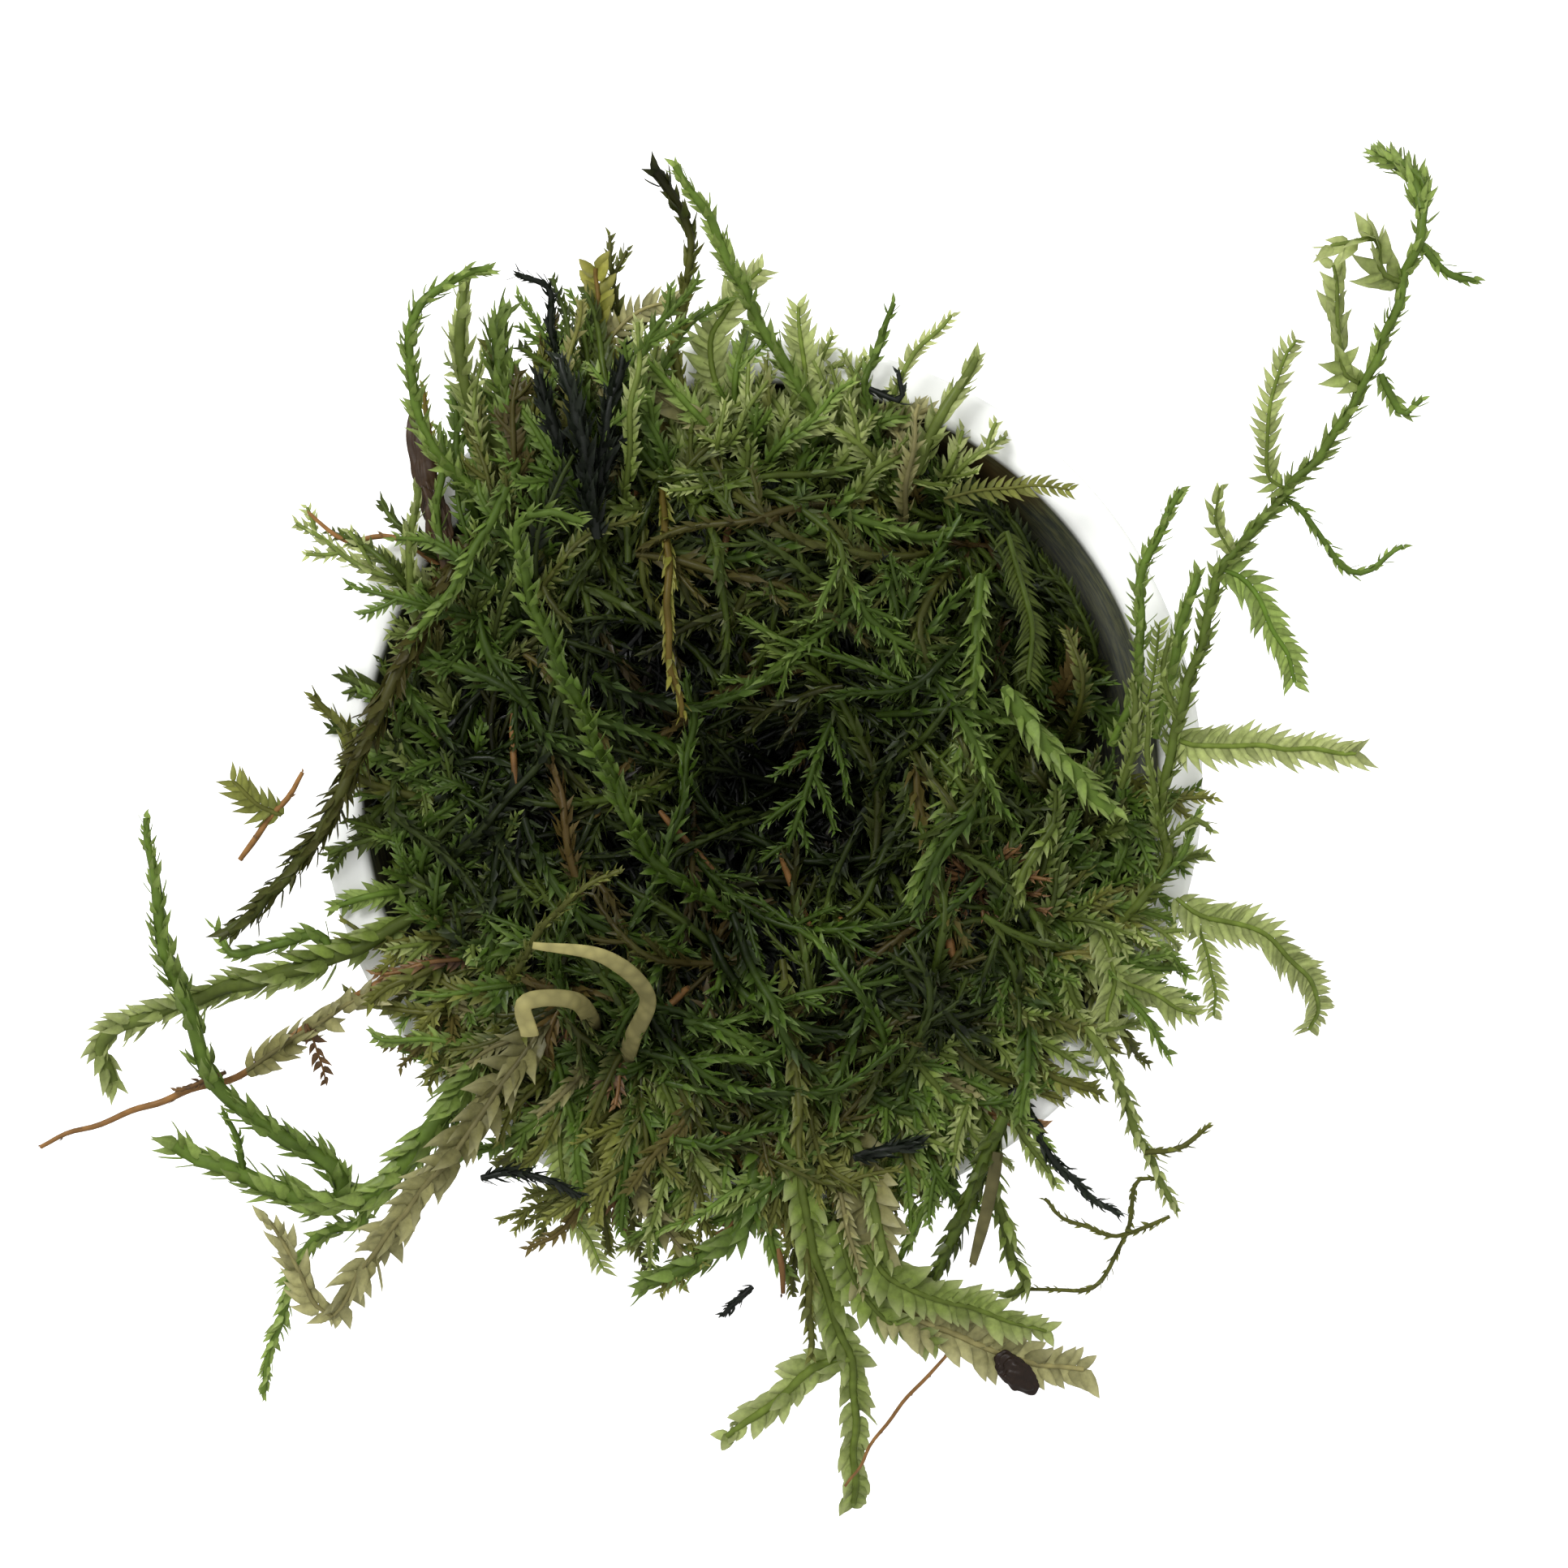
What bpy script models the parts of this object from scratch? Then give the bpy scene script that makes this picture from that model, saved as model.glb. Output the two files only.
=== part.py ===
# Christmas moss packed in a small white cup, its shoots spilling over the lip.
# Metres, +Z up. The origin is the centre of the cup's flat underside, which it stands on.
# East is +X and north is +Y, as on a plan seen from straight above.

import math

import bmesh
import bpy
import numpy as np
from mathutils import Vector

MM = 0.001
TURN = 2 * math.pi

# The cup, in millimetres
CUP_HEIGHT = 30.0
MOUTH_RADIUS = 28.0
BASE_RADIUS = 22.0
WALL = 0.7
FLOOR = 0.8
LIP_WIDTH = 3.0
LIP_DROP = 1.6
CUP_SIDES = 48

# The bed of moss in it, with heights measured from the lip
BED_GAP = 0.55
BED_HOLLOW = -7.0
BED_CROWN = 1.5
BED_CROWN_AT = 0.62
BED_EDGE = -1.8
EAST_GAP_DEPTH = -8.0
EAST_GAP_INSET = 3.5
EAST_GAP_ANGLE = math.radians(24)
EAST_GAP_SPREAD = math.radians(36)
BED_ROUND = 32
BED_RINGS = 16

# The shoots
POINT_EVERY = 2.3
FEWEST_POINTS = 5
TUBE_SIDES_EXTRA = 1

# The routes below are plans: how each shoot lies when it is seen from this height above
# the lip, measured at the lip. What rises towards the eye looks larger than it is.
EYE_HEIGHT = 180.0
EYE = (1.6, -0.2)

COLOURS = {
    "white_plastic": (0.86, 0.87, 0.84),
    "bright_green": (0.26, 0.42, 0.06),
    "leaf_green": (0.13, 0.26, 0.05),
    "dark_green": (0.04, 0.09, 0.03),
    "black_green": (0.015, 0.022, 0.014),
    "olive": (0.19, 0.18, 0.06),
    "golden": (0.36, 0.30, 0.08),
    "beige": (0.45, 0.42, 0.22),
    "brown": (0.24, 0.11, 0.04),
}
GLOSS = {"white_plastic": 0.35}
MATT = 0.75


def cleared_scene():
    for old in list(bpy.data.objects):
        bpy.data.objects.remove(old, do_unlink=True)
    holder = bpy.data.collections.new("christmas_moss_cup")
    bpy.context.scene.collection.children.link(holder)
    return holder


def material(name):
    found = bpy.data.materials.new(name)
    found.use_nodes = True
    shader = found.node_tree.nodes["Principled BSDF"]
    shader.inputs["Base Color"].default_value = (*COLOURS[name], 1)
    shader.inputs["Roughness"].default_value = GLOSS.get(name, MATT)
    shader.inputs["Metallic"].default_value = 0
    return found


def added(name, data, colour):
    piece = bpy.data.objects.new(name, data)
    piece.data.materials.append(material(colour))
    COLLECTION.objects.link(piece)
    return piece


def smooth_step(value):
    held = min(max(value, 0.0), 1.0)
    return held * held * (3 - 2 * held)


# The cup: one turned profile, from the middle of its floor up the inside, over the lip
# and down the outside.


def arc(x, z, radius, start, end, steps=4):
    for step in range(steps + 1):
        angle = math.radians(start + (end - start) * step / steps)
        yield (x + radius * math.cos(angle), z + radius * math.sin(angle))


def wall_radius(z):
    """Inside radius of the cup at this height over its underside."""
    return BASE_RADIUS - WALL + (MOUTH_RADIUS - BASE_RADIUS + WALL) * z / CUP_HEIGHT


def cup_profile():
    lip_outer = MOUTH_RADIUS + LIP_WIDTH
    edge = 0.7
    lip_top = CUP_HEIGHT - WALL
    yield (0, FLOOR)
    yield from arc(wall_radius(FLOOR) - edge, FLOOR + edge, edge, -90, 0, 3)
    yield from arc(MOUTH_RADIUS + edge, CUP_HEIGHT - edge, edge, 180, 90)
    yield from arc(lip_outer - edge, CUP_HEIGHT - edge, edge, 90, 0)
    yield (lip_outer, CUP_HEIGHT - LIP_DROP)
    yield (lip_outer - WALL, CUP_HEIGHT - LIP_DROP)
    yield (lip_outer - WALL, lip_top - 0.1)
    yield (MOUTH_RADIUS + WALL + 0.5, lip_top - 0.1)
    yield (MOUTH_RADIUS + WALL - 0.1, lip_top - 0.7)
    yield from arc(BASE_RADIUS - edge, edge, edge, 0, -90, 3)
    yield (0, 0)


def cup():
    mesh = bpy.data.meshes.new("cup")
    points = [(x * MM, 0, z * MM) for x, z in cup_profile()]
    mesh.from_pydata(points, [(i, i + 1) for i in range(len(points) - 1)], [])
    piece = added("cup", mesh, "white_plastic")
    turned = piece.modifiers.new("Turned", "SCREW")
    turned.steps = CUP_SIDES
    turned.render_steps = CUP_SIDES
    turned.use_merge_vertices = True
    turned.merge_threshold = 0.00001
    turned.use_smooth_shade = True


# The bed: a ball pressed into the cup, its upper half pushed down in the middle and
# drawn away from the east side of the wall.


def east_gap(angle):
    turned = (angle - EAST_GAP_ANGLE + math.pi) % TURN - math.pi
    return math.exp(-((turned / EAST_GAP_SPREAD) ** 2))


def bed_top(across, angle):
    """Height of the bed over the lip; across runs from 0 at its middle to 1 at its edge."""
    inner = (BED_CROWN - BED_HOLLOW) * smooth_step(across / BED_CROWN_AT)
    outer = (BED_EDGE - BED_CROWN) * smooth_step((across - BED_CROWN_AT) / (1 - BED_CROWN_AT))
    lumps = 0.5 * math.sin(3 * angle + 6 * across) + 0.4 * math.sin(5 * angle - 9 * across)
    gap = EAST_GAP_DEPTH * east_gap(angle) * smooth_step((across - 0.55) / 0.45)
    return BED_HOLLOW + inner + outer + lumps * smooth_step(across * 2) + gap


def bed_point(down, angle):
    """down runs from 0 at the top of the ball, past 0.5 at its edge, to 1 underneath."""
    if down <= 0.5:
        across = down / 0.5
        height = CUP_HEIGHT + bed_top(across, angle)
        edge = wall_radius(CUP_HEIGHT + BED_EDGE - 2) - BED_GAP
        return across * (edge - EAST_GAP_INSET * east_gap(angle)), height
    top = CUP_HEIGHT + bed_top(1, angle)
    bottom = FLOOR + BED_GAP
    side = min((down - 0.5) / 0.25, 1)
    height = top + (bottom - top) * side
    inset = EAST_GAP_INSET * east_gap(angle) * (1 - side)
    radius = min(wall_radius(height), wall_radius(CUP_HEIGHT + BED_EDGE - 2)) - BED_GAP - inset
    if down <= 0.75:
        return radius, height
    return (radius - BED_GAP) * (1 - down) / 0.25, bottom


def moss_bed():
    mesh = bpy.data.meshes.new("moss_bed")
    ball = bmesh.new()
    bmesh.ops.create_uvsphere(ball, u_segments=BED_ROUND, v_segments=BED_RINGS, radius=1)
    for point in ball.verts:
        down = math.acos(max(-1.0, min(1.0, point.co.z))) / math.pi
        angle = math.atan2(point.co.y, point.co.x)
        radius, height = bed_point(down, angle)
        point.co = Vector((radius * math.cos(angle), radius * math.sin(angle), height)) * MM
    ball.to_mesh(mesh)
    ball.free()
    mesh.shade_smooth()
    added("moss_bed", mesh, "dark_green")


# The shoots: tapered tubes along smooth curves.


def spot(across, along, height):
    """The real place of a point of a plan, in millimetres over the underside."""
    nearer = (EYE_HEIGHT - height) / EYE_HEIGHT
    return np.array(
        (
            EYE[0] + (across - EYE[0]) * nearer,
            EYE[1] + (along - EYE[1]) * nearer,
            CUP_HEIGHT + height,
        )
    )


def smooth_route(route):
    """Points at even steps along a smooth curve through the route's own points."""
    places = [spot(*point) for point in route]
    places = [2 * places[0] - places[1], *places, 2 * places[-1] - places[-2]]
    fine = []
    for before, start, end, after in zip(places, places[1:], places[2:], places[3:]):
        for part in np.linspace(0, 1, 12, endpoint=False):
            bend = 2 * before - 5 * start + 4 * end - after
            twist = 3 * start - before - 3 * end + after
            fine.append(
                0.5 * (2 * start + (end - before) * part + bend * part**2 + twist * part**3)
            )
    fine = np.array([*fine, places[-2]])
    along = np.concatenate([[0], np.cumsum(np.linalg.norm(np.diff(fine, axis=0), axis=1))])
    count = max(FEWEST_POINTS, round(along[-1] / POINT_EVERY) + 1)
    steps = np.linspace(0, along[-1], count)
    return np.stack([np.interp(steps, along, fine[:, axis]) for axis in range(3)], axis=1)


def shoot(name, colour, thick, thin, route):
    """A tube whose radius runs from thick at its foot to thin at its tip."""
    curve = bpy.data.curves.new(name, "CURVE")
    curve.dimensions = "3D"
    curve.bevel_depth = MM
    curve.bevel_resolution = TUBE_SIDES_EXTRA
    curve.use_fill_caps = True
    points = smooth_route(route)
    line = curve.splines.new("POLY")
    line.points.add(len(points) - 1)
    for step, (point, place) in enumerate(zip(line.points, points)):
        point.co = (*(place * MM), 1)
        point.radius = thick + (thin - thick) * step / (len(points) - 1)
    return added(name, curve, colour)


def grain(name, colour, place, size, heading):
    """A small ball drawn out to size, its length turned to the heading in degrees."""
    mesh = bpy.data.meshes.new(name)
    ball = bmesh.new()
    bmesh.ops.create_uvsphere(ball, u_segments=12, v_segments=8, radius=0.5)
    bmesh.ops.scale(ball, vec=Vector(size) * MM, verts=ball.verts)
    ball.to_mesh(mesh)
    ball.free()
    mesh.shade_smooth()
    piece = added(name, mesh, colour)
    piece.location = spot(*place) * MM
    piece.rotation_euler.z = math.radians(heading)


# Each shoot: colour, radius at the foot and at the tip, and its plan in millimetres as
# east, north and height over the lip.

EAST_SHOOTS = {
    "long_shoot": (
        "leaf_green", 0.85, 0.45,
        [
            (24.5, -10.5, 0.6), (26.5, -8.5, 1.9), (28.5, -5.5, 2.6), (28, -2, 3.2),
            (29.5, 5.5, 4.5), (31, 10, 5.5), (32, 14.5, 6.5), (34, 17, 7.5),
            (37, 20.5, 9), (40, 24, 10.5), (42, 27.5, 12), (43.5, 30.5, 13),
            (45.5, 36.5, 15), (46.5, 40, 15.5), (46, 42.5, 15), (43, 44, 12.5),
        ],
    ),
    "long_shoot_fan": (
        "bright_green", 0.75, 0.45, [(30.4, 2.5, 4), (34, 2.5, 4.5), (41.5, 2, 3.5)],
    ),
    "long_shoot_low_branch": (
        "leaf_green", 0.6, 0.4, [(33.8, 14.1, 6.4), (35.5, 11.5, 6.5), (37.5, 7, 5)],
    ),
    "long_shoot_curl": (
        "leaf_green", 0.5, 0.3,
        [(37.9, 18.9, 8.5), (40, 16, 8.5), (42, 14.5, 8), (45, 16.5, 9)],
    ),
    "long_shoot_middle_branch": (
        "bright_green", 0.6, 0.4,
        [(35.5, 21.4, 9.2), (35.5, 25, 10.5), (36.5, 29.5, 11), (37.5, 31, 10.5)],
    ),
    "long_shoot_high_branch": (
        "bright_green", 0.6, 0.4, [(40.7, 28.7, 12.3), (40.5, 32, 13), (40, 36, 13.5)],
    ),
    "long_shoot_tuft": (
        "bright_green", 0.5, 0.35, [(43.5, 35.6, 15), (43, 38, 16), (40, 37.5, 16.5)],
    ),
    "east_tall_sprig": (
        "leaf_green", 0.7, 0.4,
        [(24.5, 2.5, 0.8), (26.4, 7, 2.5), (26.6, 14, 4.5), (28.2, 18, 6), (29.5, 20.5, 6.5)],
    ),
    "east_short_sprig": (
        "leaf_green", 0.6, 0.4, [(27.6, 3, 1.6), (29.3, 10, 3), (30.5, 14.5, 4)],
    ),
    "east_drooping_shoot": (
        "bright_green", 0.7, 0.4,
        [
            (29.1, -8.2, 1.9), (31, -9.5, 2.4), (35, -10.5, 2), (37.5, -13, 0.5),
            (39, -15, -2), (38.5, -17.5, -5),
        ],
    ),
    "east_broad_shoot": (
        "bright_green", 0.9, 0.6, [(22, -12.5, 0.8), (25.5, -14, 1.9), (30.5, -16.4, 1.2)],
    ),
    "southeast_shoot": (
        "bright_green", 0.8, 0.45,
        [(21, -15.3, 1), (23, -17.5, 1.8), (25, -21, 1.6), (26.5, -25, 0), (29, -30, -2)],
    ),
    "southeast_loop": (
        "olive", 0.3, 0.22,
        [(26.2, -28.2, -1.5), (25.5, -32, -3.5), (23, -35.5, -4), (18.5, -35.5, -3.5)],
    ),
    "southeast_dark_shoot": (
        "black_green", 0.5, 0.35, [(18, -21.5, 0.8), (20, -26, 1.5), (22.5, -28.5, 1.2), (25, -30.5, 1)],
    ),
}

SOUTH_SHOOTS = {
    "south_bright_shoot": (
        "bright_green", 0.6, 0.4,
        [(14.8, -21.5, 0.6), (16, -27, 1.7), (17.5, -33, 0), (18.5, -35, -1.2), (17.2, -36, -1.6)],
    ),
    "south_grey_shoot": (
        "dark_green", 1.0, 0.7, [(17, -23.5, 4.4), (15.5, -27, 4.2), (14, -30.5, 3.2), (12, -35.5, 1.5)],
    ),
    "south_shoot": (
        "bright_green", 0.9, 0.5,
        [
            (2.6, -23.5, 0.8), (3, -29.5, 2.2), (4, -34, 1.5), (5.5, -38.5, 0),
            (6.5, -42, -1.5), (6.5, -50.5, -6),
        ],
    ),
    "south_shoot_side": (
        "bright_green", 0.6, 0.4, [(4, -40.9, -1), (1.5, -43, -1.8), (-2.5, -46, -3.5)],
    ),
    "south_broad_shoot": (
        "beige", 0.9, 0.6,
        [
            (6.5, -24.5, 0.9), (7.8, -30.5, 2), (8.2, -35, 1.5), (12, -37.7, 1),
            (18, -39.5, 0), (22.5, -40.5, -1),
        ],
    ),
    "rhizoid_thread": (
        "brown", 0.2, 0.15, [(13, -40.2, 0), (10, -43.5, -1), (8, -46, -2), (6, -49.5, -3.8)],
    ),
    "south_feather": (
        "olive", 0.8, 0.45,
        [(-0.4, -24.5, 0.7), (-0.6, -28.5, 1.7), (-2, -32, 1.2), (-8.5, -35.5, 0)],
    ),
    "south_sprig": (
        "bright_green", 0.6, 0.4,
        [(-14, -22.5, 0.6), (-14, -27, 1.5), (-13.3, -30, 1), (-11, -34, -0.5)],
    ),
    "black_shoot": (
        "black_green", 0.75, 0.5, [(-19.6, -27.8, 3.8), (-17, -27.4, 4), (-12.5, -29, 3.6)],
    ),
    "beige_shoot": (
        "beige", 0.85, 0.5,
        [(-15.5, -17.5, 2.2), (-21.5, -26, 4.6), (-26, -31.5, 3.8), (-30, -37.5, 1.5)],
    ),
    "beige_shoot_side": (
        "beige", 0.5, 0.4, [(-31.4, -36.5, 1.4), (-32.3, -34.3, 2), (-34.5, -30.8, 2.8)],
    ),
    "southwest_thick_shoot": (
        "leaf_green", 1.0, 0.5,
        [
            (-18.5, -17.5, 0.9), (-22.5, -23.5, 2.0), (-26.5, -28.3, 1.2), (-31, -29.5, 0.6),
            (-36, -27.7, 0.5), (-41, -25.5, 1),
        ],
    ),
    "southwest_long_shoot": (
        "leaf_green", 0.8, 0.35,
        [
            (-29.9, -27, 1.4), (-34, -24.6, 1.8), (-38, -21.5, 2.2), (-40, -16.5, 3),
            (-42, -10.5, 4), (-43, -2.5, 5),
        ],
    ),
    "southwest_low_shoot": (
        "leaf_green", 0.6, 0.35,
        [(-27.8, -30.8, -0.2), (-31.5, -32.2, -1.5), (-33.5, -37, -3), (-35, -43, -5)],
    ),
}

WEST_SHOOTS = {
    "withered_stem": (
        "brown", 0.55, 0.3,
        [
            (-23.5, -12.8, 0.8), (-27.3, -14.5, 1.4), (-31.5, -17, 0.3), (-36, -20.3, -1.2),
            (-41.5, -22.2, -2.2), (-50.5, -25.5, -3.5),
        ],
    ),
    "west_shoot": (
        "bright_green", 0.8, 0.45,
        [
            (-24.5, -9.5, 0.9), (-28.5, -11.8, 1.9), (-34, -13.6, 1), (-39, -15, -0.5),
            (-46, -18, -2.5), (-45.3, -21, -3.5),
        ],
    ),
    "west_shoot_curl": (
        "leaf_green", 0.4, 0.3,
        [(-31, -10.7, 2), (-34, -11.5, 1.8), (-37, -12, 1.5), (-38.2, -10.3, 1.2)],
    ),
    "dark_long_shoot": (
        "dark_green", 0.8, 0.5,
        [
            (-20, 17.5, 2.4), (-22.5, 13, 3.4), (-26, 6.5, 4), (-29.5, -1, 4.2),
            (-33, -6.5, 4), (-37.3, -10.6, 3.5),
        ],
    ),
    "brown_cross_stem": (
        "brown", 0.35, 0.25, [(-36.5, -5.5, 2), (-34.3, -2.5, 2.5), (-32, 0.5, 3)],
    ),
    "brown_curl": (
        "brown", 0.3, 0.22, [(-21.5, 14.3, 0.9), (-25.5, 17, 1.3), (-29, 16.8, 1.5), (-31.5, 18.8, 2)],
    ),
    "northwest_arch": (
        "leaf_green", 0.6, 0.4,
        [
            (-18.5, 19.2, 2.8), (-22.8, 23, 5.5), (-24.5, 28, 7), (-24.5, 31.5, 8),
            (-22.8, 34.5, 8.5), (-18.8, 36, 8),
        ],
    ),
    "northwest_shoot": (
        "bright_green", 0.7, 0.5, [(-16, 21, 0.8), (-20, 25.5, 2.4), (-21, 30, 3.5), (-21, 35, 3.5)],
    ),
    "northwest_broad_shoot": (
        "leaf_green", 0.9, 0.6, [(-13, 22, 0.9), (-17.2, 26.2, 2.2), (-18.4, 29.5, 3), (-18, 33, 3)],
    ),
}

NORTH_SHOOTS = {
    "dark_curl": (
        "black_green", 0.45, 0.3,
        [(-11.5, 23.5, 1.2), (-13.6, 28, 2.8), (-14.6, 31.5, 3.5), (-15, 34.5, 4.5), (-17, 35.6, 5)],
    ),
    "black_tuft": (
        "black_green", 0.9, 0.6, [(-11.5, 17, 4.5), (-12.5, 24, 6), (-14, 29.5, 6.5)],
    ),
    "golden_tip_shoot": (
        "golden", 0.7, 0.5, [(-8.8, 23.5, 0.9), (-11.3, 29, 2), (-11.5, 36, 2.5)],
    ),
    "black_tip_shoot": (
        "dark_green", 0.5, 0.35,
        [(-5, 24.5, 0.9), (-6, 30.5, 2.5), (-5, 36, 4), (-5.5, 40, 5), (-7.5, 42.5, 6)],
    ),
    "north_long_shoot": (
        "leaf_green", 0.7, 0.4,
        [
            (4.5, 24.5, 0.9), (2.5, 28, 2.2), (0.5, 31, 3.5), (-2, 36, 5.5), (-4, 40, 7),
            (-6, 43, 8.5),
        ],
    ),
    "north_pale_shoot": (
        "bright_green", 0.7, 0.45, [(-1.6, 24.5, 0.8), (-3.6, 29.5, 1.4), (-2.5, 33, 1.7), (0, 36, 1.5)],
    ),
    "north_twisted_sprig": (
        "leaf_green", 0.5, 0.3, [(8.2, 24, 0.8), (7.3, 28, 1.6), (8.5, 31, 2.2), (9.2, 33.5, 3)],
    ),
    "northeast_shoot": (
        "bright_green", 0.85, 0.7, [(10.8, 21.5, 0.9), (12, 24.5, 1.9), (15, 29.5, 2.5)],
    ),
    "northeast_feather": (
        "bright_green", 0.75, 0.5, [(12.8, 19.8, 3.4), (17, 20.6, 4), (21.5, 20.5, 4)],
    ),
}

BED_SHOOTS = {
    "pale_east_blade": (
        "bright_green", 0.8, 0.6, [(17, 6.6, 4.4), (20, 2.5, 4.6), (24.5, -2, 4.6)],
    ),
    "diagonal_shoot": (
        "leaf_green", 0.75, 0.5, [(15.4, 14.5, 2.8), (14, 1.5, 3.6), (8.7, -12.6, 2.8)],
    ),
    "olive_shoot": (
        "olive", 0.7, 0.6, [(1.5, -12.5, 1.5), (2.3, -19, 3.5), (2.8, -26.5, 5)],
    ),
    "leaning_shoot": (
        "leaf_green", 1.0, 0.6,
        [
            (-1.5, -9.5, 0.4), (-5, -7.5, 2.8), (-8, -5, 5.8), (-10.5, 0.5, 10), (-13, 6, 14.5),
            (-16, 12.5, 19), (-17, 17.5, 22), (-15, 18.8, 23), (-12.5, 18.3, 22.5),
        ],
    ),
    "golden_shoot": (
        "golden", 0.55, 0.4, [(-7, 20.5, 2), (-6.5, 15, 5), (-6.5, 9.5, 5.5), (-5.5, 4.5, 4)],
    ),
    "yellow_stem": (
        "golden", 0.45, 0.35, [(-17.5, -14.3, 0.5), (-17, -13, 5), (-14, -8.7, 8), (-10, -6.3, 8.6)],
    ),
    "pale_curled_blade": (
        "beige", 0.5, 0.4,
        [(-9.5, -19.3, 0.8), (-9, -18, 4), (-8, -15, 8), (-11, -12.3, 12), (-16, -11.5, 13)],
    ),
    "pale_bent_blade": (
        "beige", 0.5, 0.4,
        [(-11.5, -17.5, 1), (-13, -15.4, 7), (-16.5, -15.5, 9), (-16.2, -17.8, 8)],
    ),
}


COLLECTION = cleared_scene()
cup()
moss_bed()
for group in (EAST_SHOOTS, SOUTH_SHOOTS, WEST_SHOOTS, NORTH_SHOOTS, BED_SHOOTS):
    for shoot_name, (colour, foot, tip, plan) in group.items():
        shoot(shoot_name, colour, foot, tip, plan)
grain("seed_husk", "brown", (17.8, -42.2, -0.6), (3.6, 1.9, 1.5), -40)
grain("bark_strip", "brown", (-23.6, 21.8, 1.8), (6.2, 1.7, 1.0), 98)
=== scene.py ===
import math

import bmesh
import bpy
import numpy as np
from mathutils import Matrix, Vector, noise as grain


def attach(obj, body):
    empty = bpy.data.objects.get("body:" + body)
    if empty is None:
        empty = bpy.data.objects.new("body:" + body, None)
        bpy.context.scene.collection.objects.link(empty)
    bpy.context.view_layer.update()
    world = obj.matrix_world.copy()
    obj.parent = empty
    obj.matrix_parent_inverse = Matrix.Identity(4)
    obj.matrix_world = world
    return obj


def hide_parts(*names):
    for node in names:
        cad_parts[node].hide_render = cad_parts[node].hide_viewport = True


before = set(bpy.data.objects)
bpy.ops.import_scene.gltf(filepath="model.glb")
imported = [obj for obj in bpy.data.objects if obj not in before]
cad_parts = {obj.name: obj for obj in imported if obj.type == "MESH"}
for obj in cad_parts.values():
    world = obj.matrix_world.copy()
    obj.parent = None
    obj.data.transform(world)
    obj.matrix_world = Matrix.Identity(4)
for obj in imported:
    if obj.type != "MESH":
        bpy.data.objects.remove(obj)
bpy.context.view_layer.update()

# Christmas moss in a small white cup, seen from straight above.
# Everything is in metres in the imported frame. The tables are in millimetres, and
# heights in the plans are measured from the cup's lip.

mm = 0.001
turn = 2 * math.pi
scene = bpy.context.scene
triangles = {}

eye = {"x": 1.6, "y": -0.2, "overLip": 180.0, "frameWide": 109.8}
cupSizes = {
    "height": 30.0, "mouth": 28.0, "base": 22.0, "wall": 0.7, "floor": 0.8, "lip": 3.0, "lipDrop": 1.6,
}
# the light is strong enough to burn the ground out to white, so a leaf is darker than
# it looks
leafDarker = 0.67


# Small helpers

def tint(*seen):
    # 0 to 255 as a colour picker shows it, to the linear values that Blender keeps
    linear = [(c / 255 / 12.92) if c < 11 else ((c / 255 + 0.055) / 1.055) ** 2.4 for c in seen]
    return (*linear, 1.0)


def pigment(seen):
    return (*(c * leafDarker for c in tint(*seen)[:3]), 1.0)


def link(tree, socket, value):
    # another socket is linked, a plain value is typed in
    if isinstance(value, bpy.types.NodeSocket):
        tree.links.new(value, socket)
    else:
        socket.default_value = value


def setSockets(tree, node, **sockets):
    # an underscore stands for the space in a socket's name
    for label, value in sockets.items():
        link(tree, node.inputs[label.replace("_", " ")], value)
    return node


def addNode(tree, kind, **sockets):
    return setSockets(tree, tree.nodes.new(kind), **sockets)


def math1(tree, operation, a, b=0.0, c=0.0, clamp=False):
    node = tree.nodes.new("ShaderNodeMath")
    node.operation = operation
    node.use_clamp = clamp
    for socket, value in zip(node.inputs, (a, b, c)):
        link(tree, socket, value)
    return node.outputs[0]


def times(tree, first, *others):
    for other in others:
        first = math1(tree, "MULTIPLY", first, other)
    return first


def math3(tree, operation, a, b=(0, 0, 0)):
    node = tree.nodes.new("ShaderNodeVectorMath")
    node.operation = operation
    link(tree, node.inputs[0], a)
    link(tree, node.inputs[1], b)
    return node.outputs[0]


def scaled(tree, a, size):
    node = tree.nodes.new("ShaderNodeVectorMath")
    node.operation = "SCALE"
    return setSockets(tree, node, Vector=a, Scale=size).outputs[0]


def mix(tree, kind, factor, a, b, blend="MIX"):
    node = tree.nodes.new("ShaderNodeMix")
    node.data_type = kind
    node.blend_type = blend
    # each kind has sockets of its own
    first = {"FLOAT": 2, "VECTOR": 4, "RGBA": 6}[kind]
    for at, value in ((0, factor), (first, a), (first + 1, b)):
        link(tree, node.inputs[at], value)
    return node.outputs[first // 2 - 1]


def remap(tree, value, low, high, newLow, newHigh):
    node = tree.nodes.new("ShaderNodeMapRange")
    for socket, number in zip(node.inputs, (value, low, high, newLow, newHigh)):
        link(tree, socket, number)
    return node.outputs[0]


def noise(tree, where, scale, detail=3.0, roughness=0.55):
    made = addNode(tree, "ShaderNodeTexNoise", Vector=where, Scale=scale, Detail=detail, Roughness=roughness)
    return made.outputs["Fac"]


def attribute(tree, name):
    node = tree.nodes.new("ShaderNodeAttribute")
    node.attribute_name = name
    return node.outputs["Fac"]


def newGroup(name, kind, inputs, outputs):
    group = bpy.data.node_groups.new(name, kind)
    for label, socketType, value in inputs:
        socket = group.interface.new_socket(label, in_out="INPUT", socket_type=socketType)
        if value is not None:
            socket.default_value = value
    for label, socketType in outputs:
        group.interface.new_socket(label, in_out="OUTPUT", socket_type=socketType)
    return group, group.nodes.new("NodeGroupInput"), group.nodes.new("NodeGroupOutput")


def newMaterial(name):
    material = bpy.data.materials.new(name)
    material.use_nodes = True
    tree = material.node_tree
    return material, tree, tree.nodes["Principled BSDF"]


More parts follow.
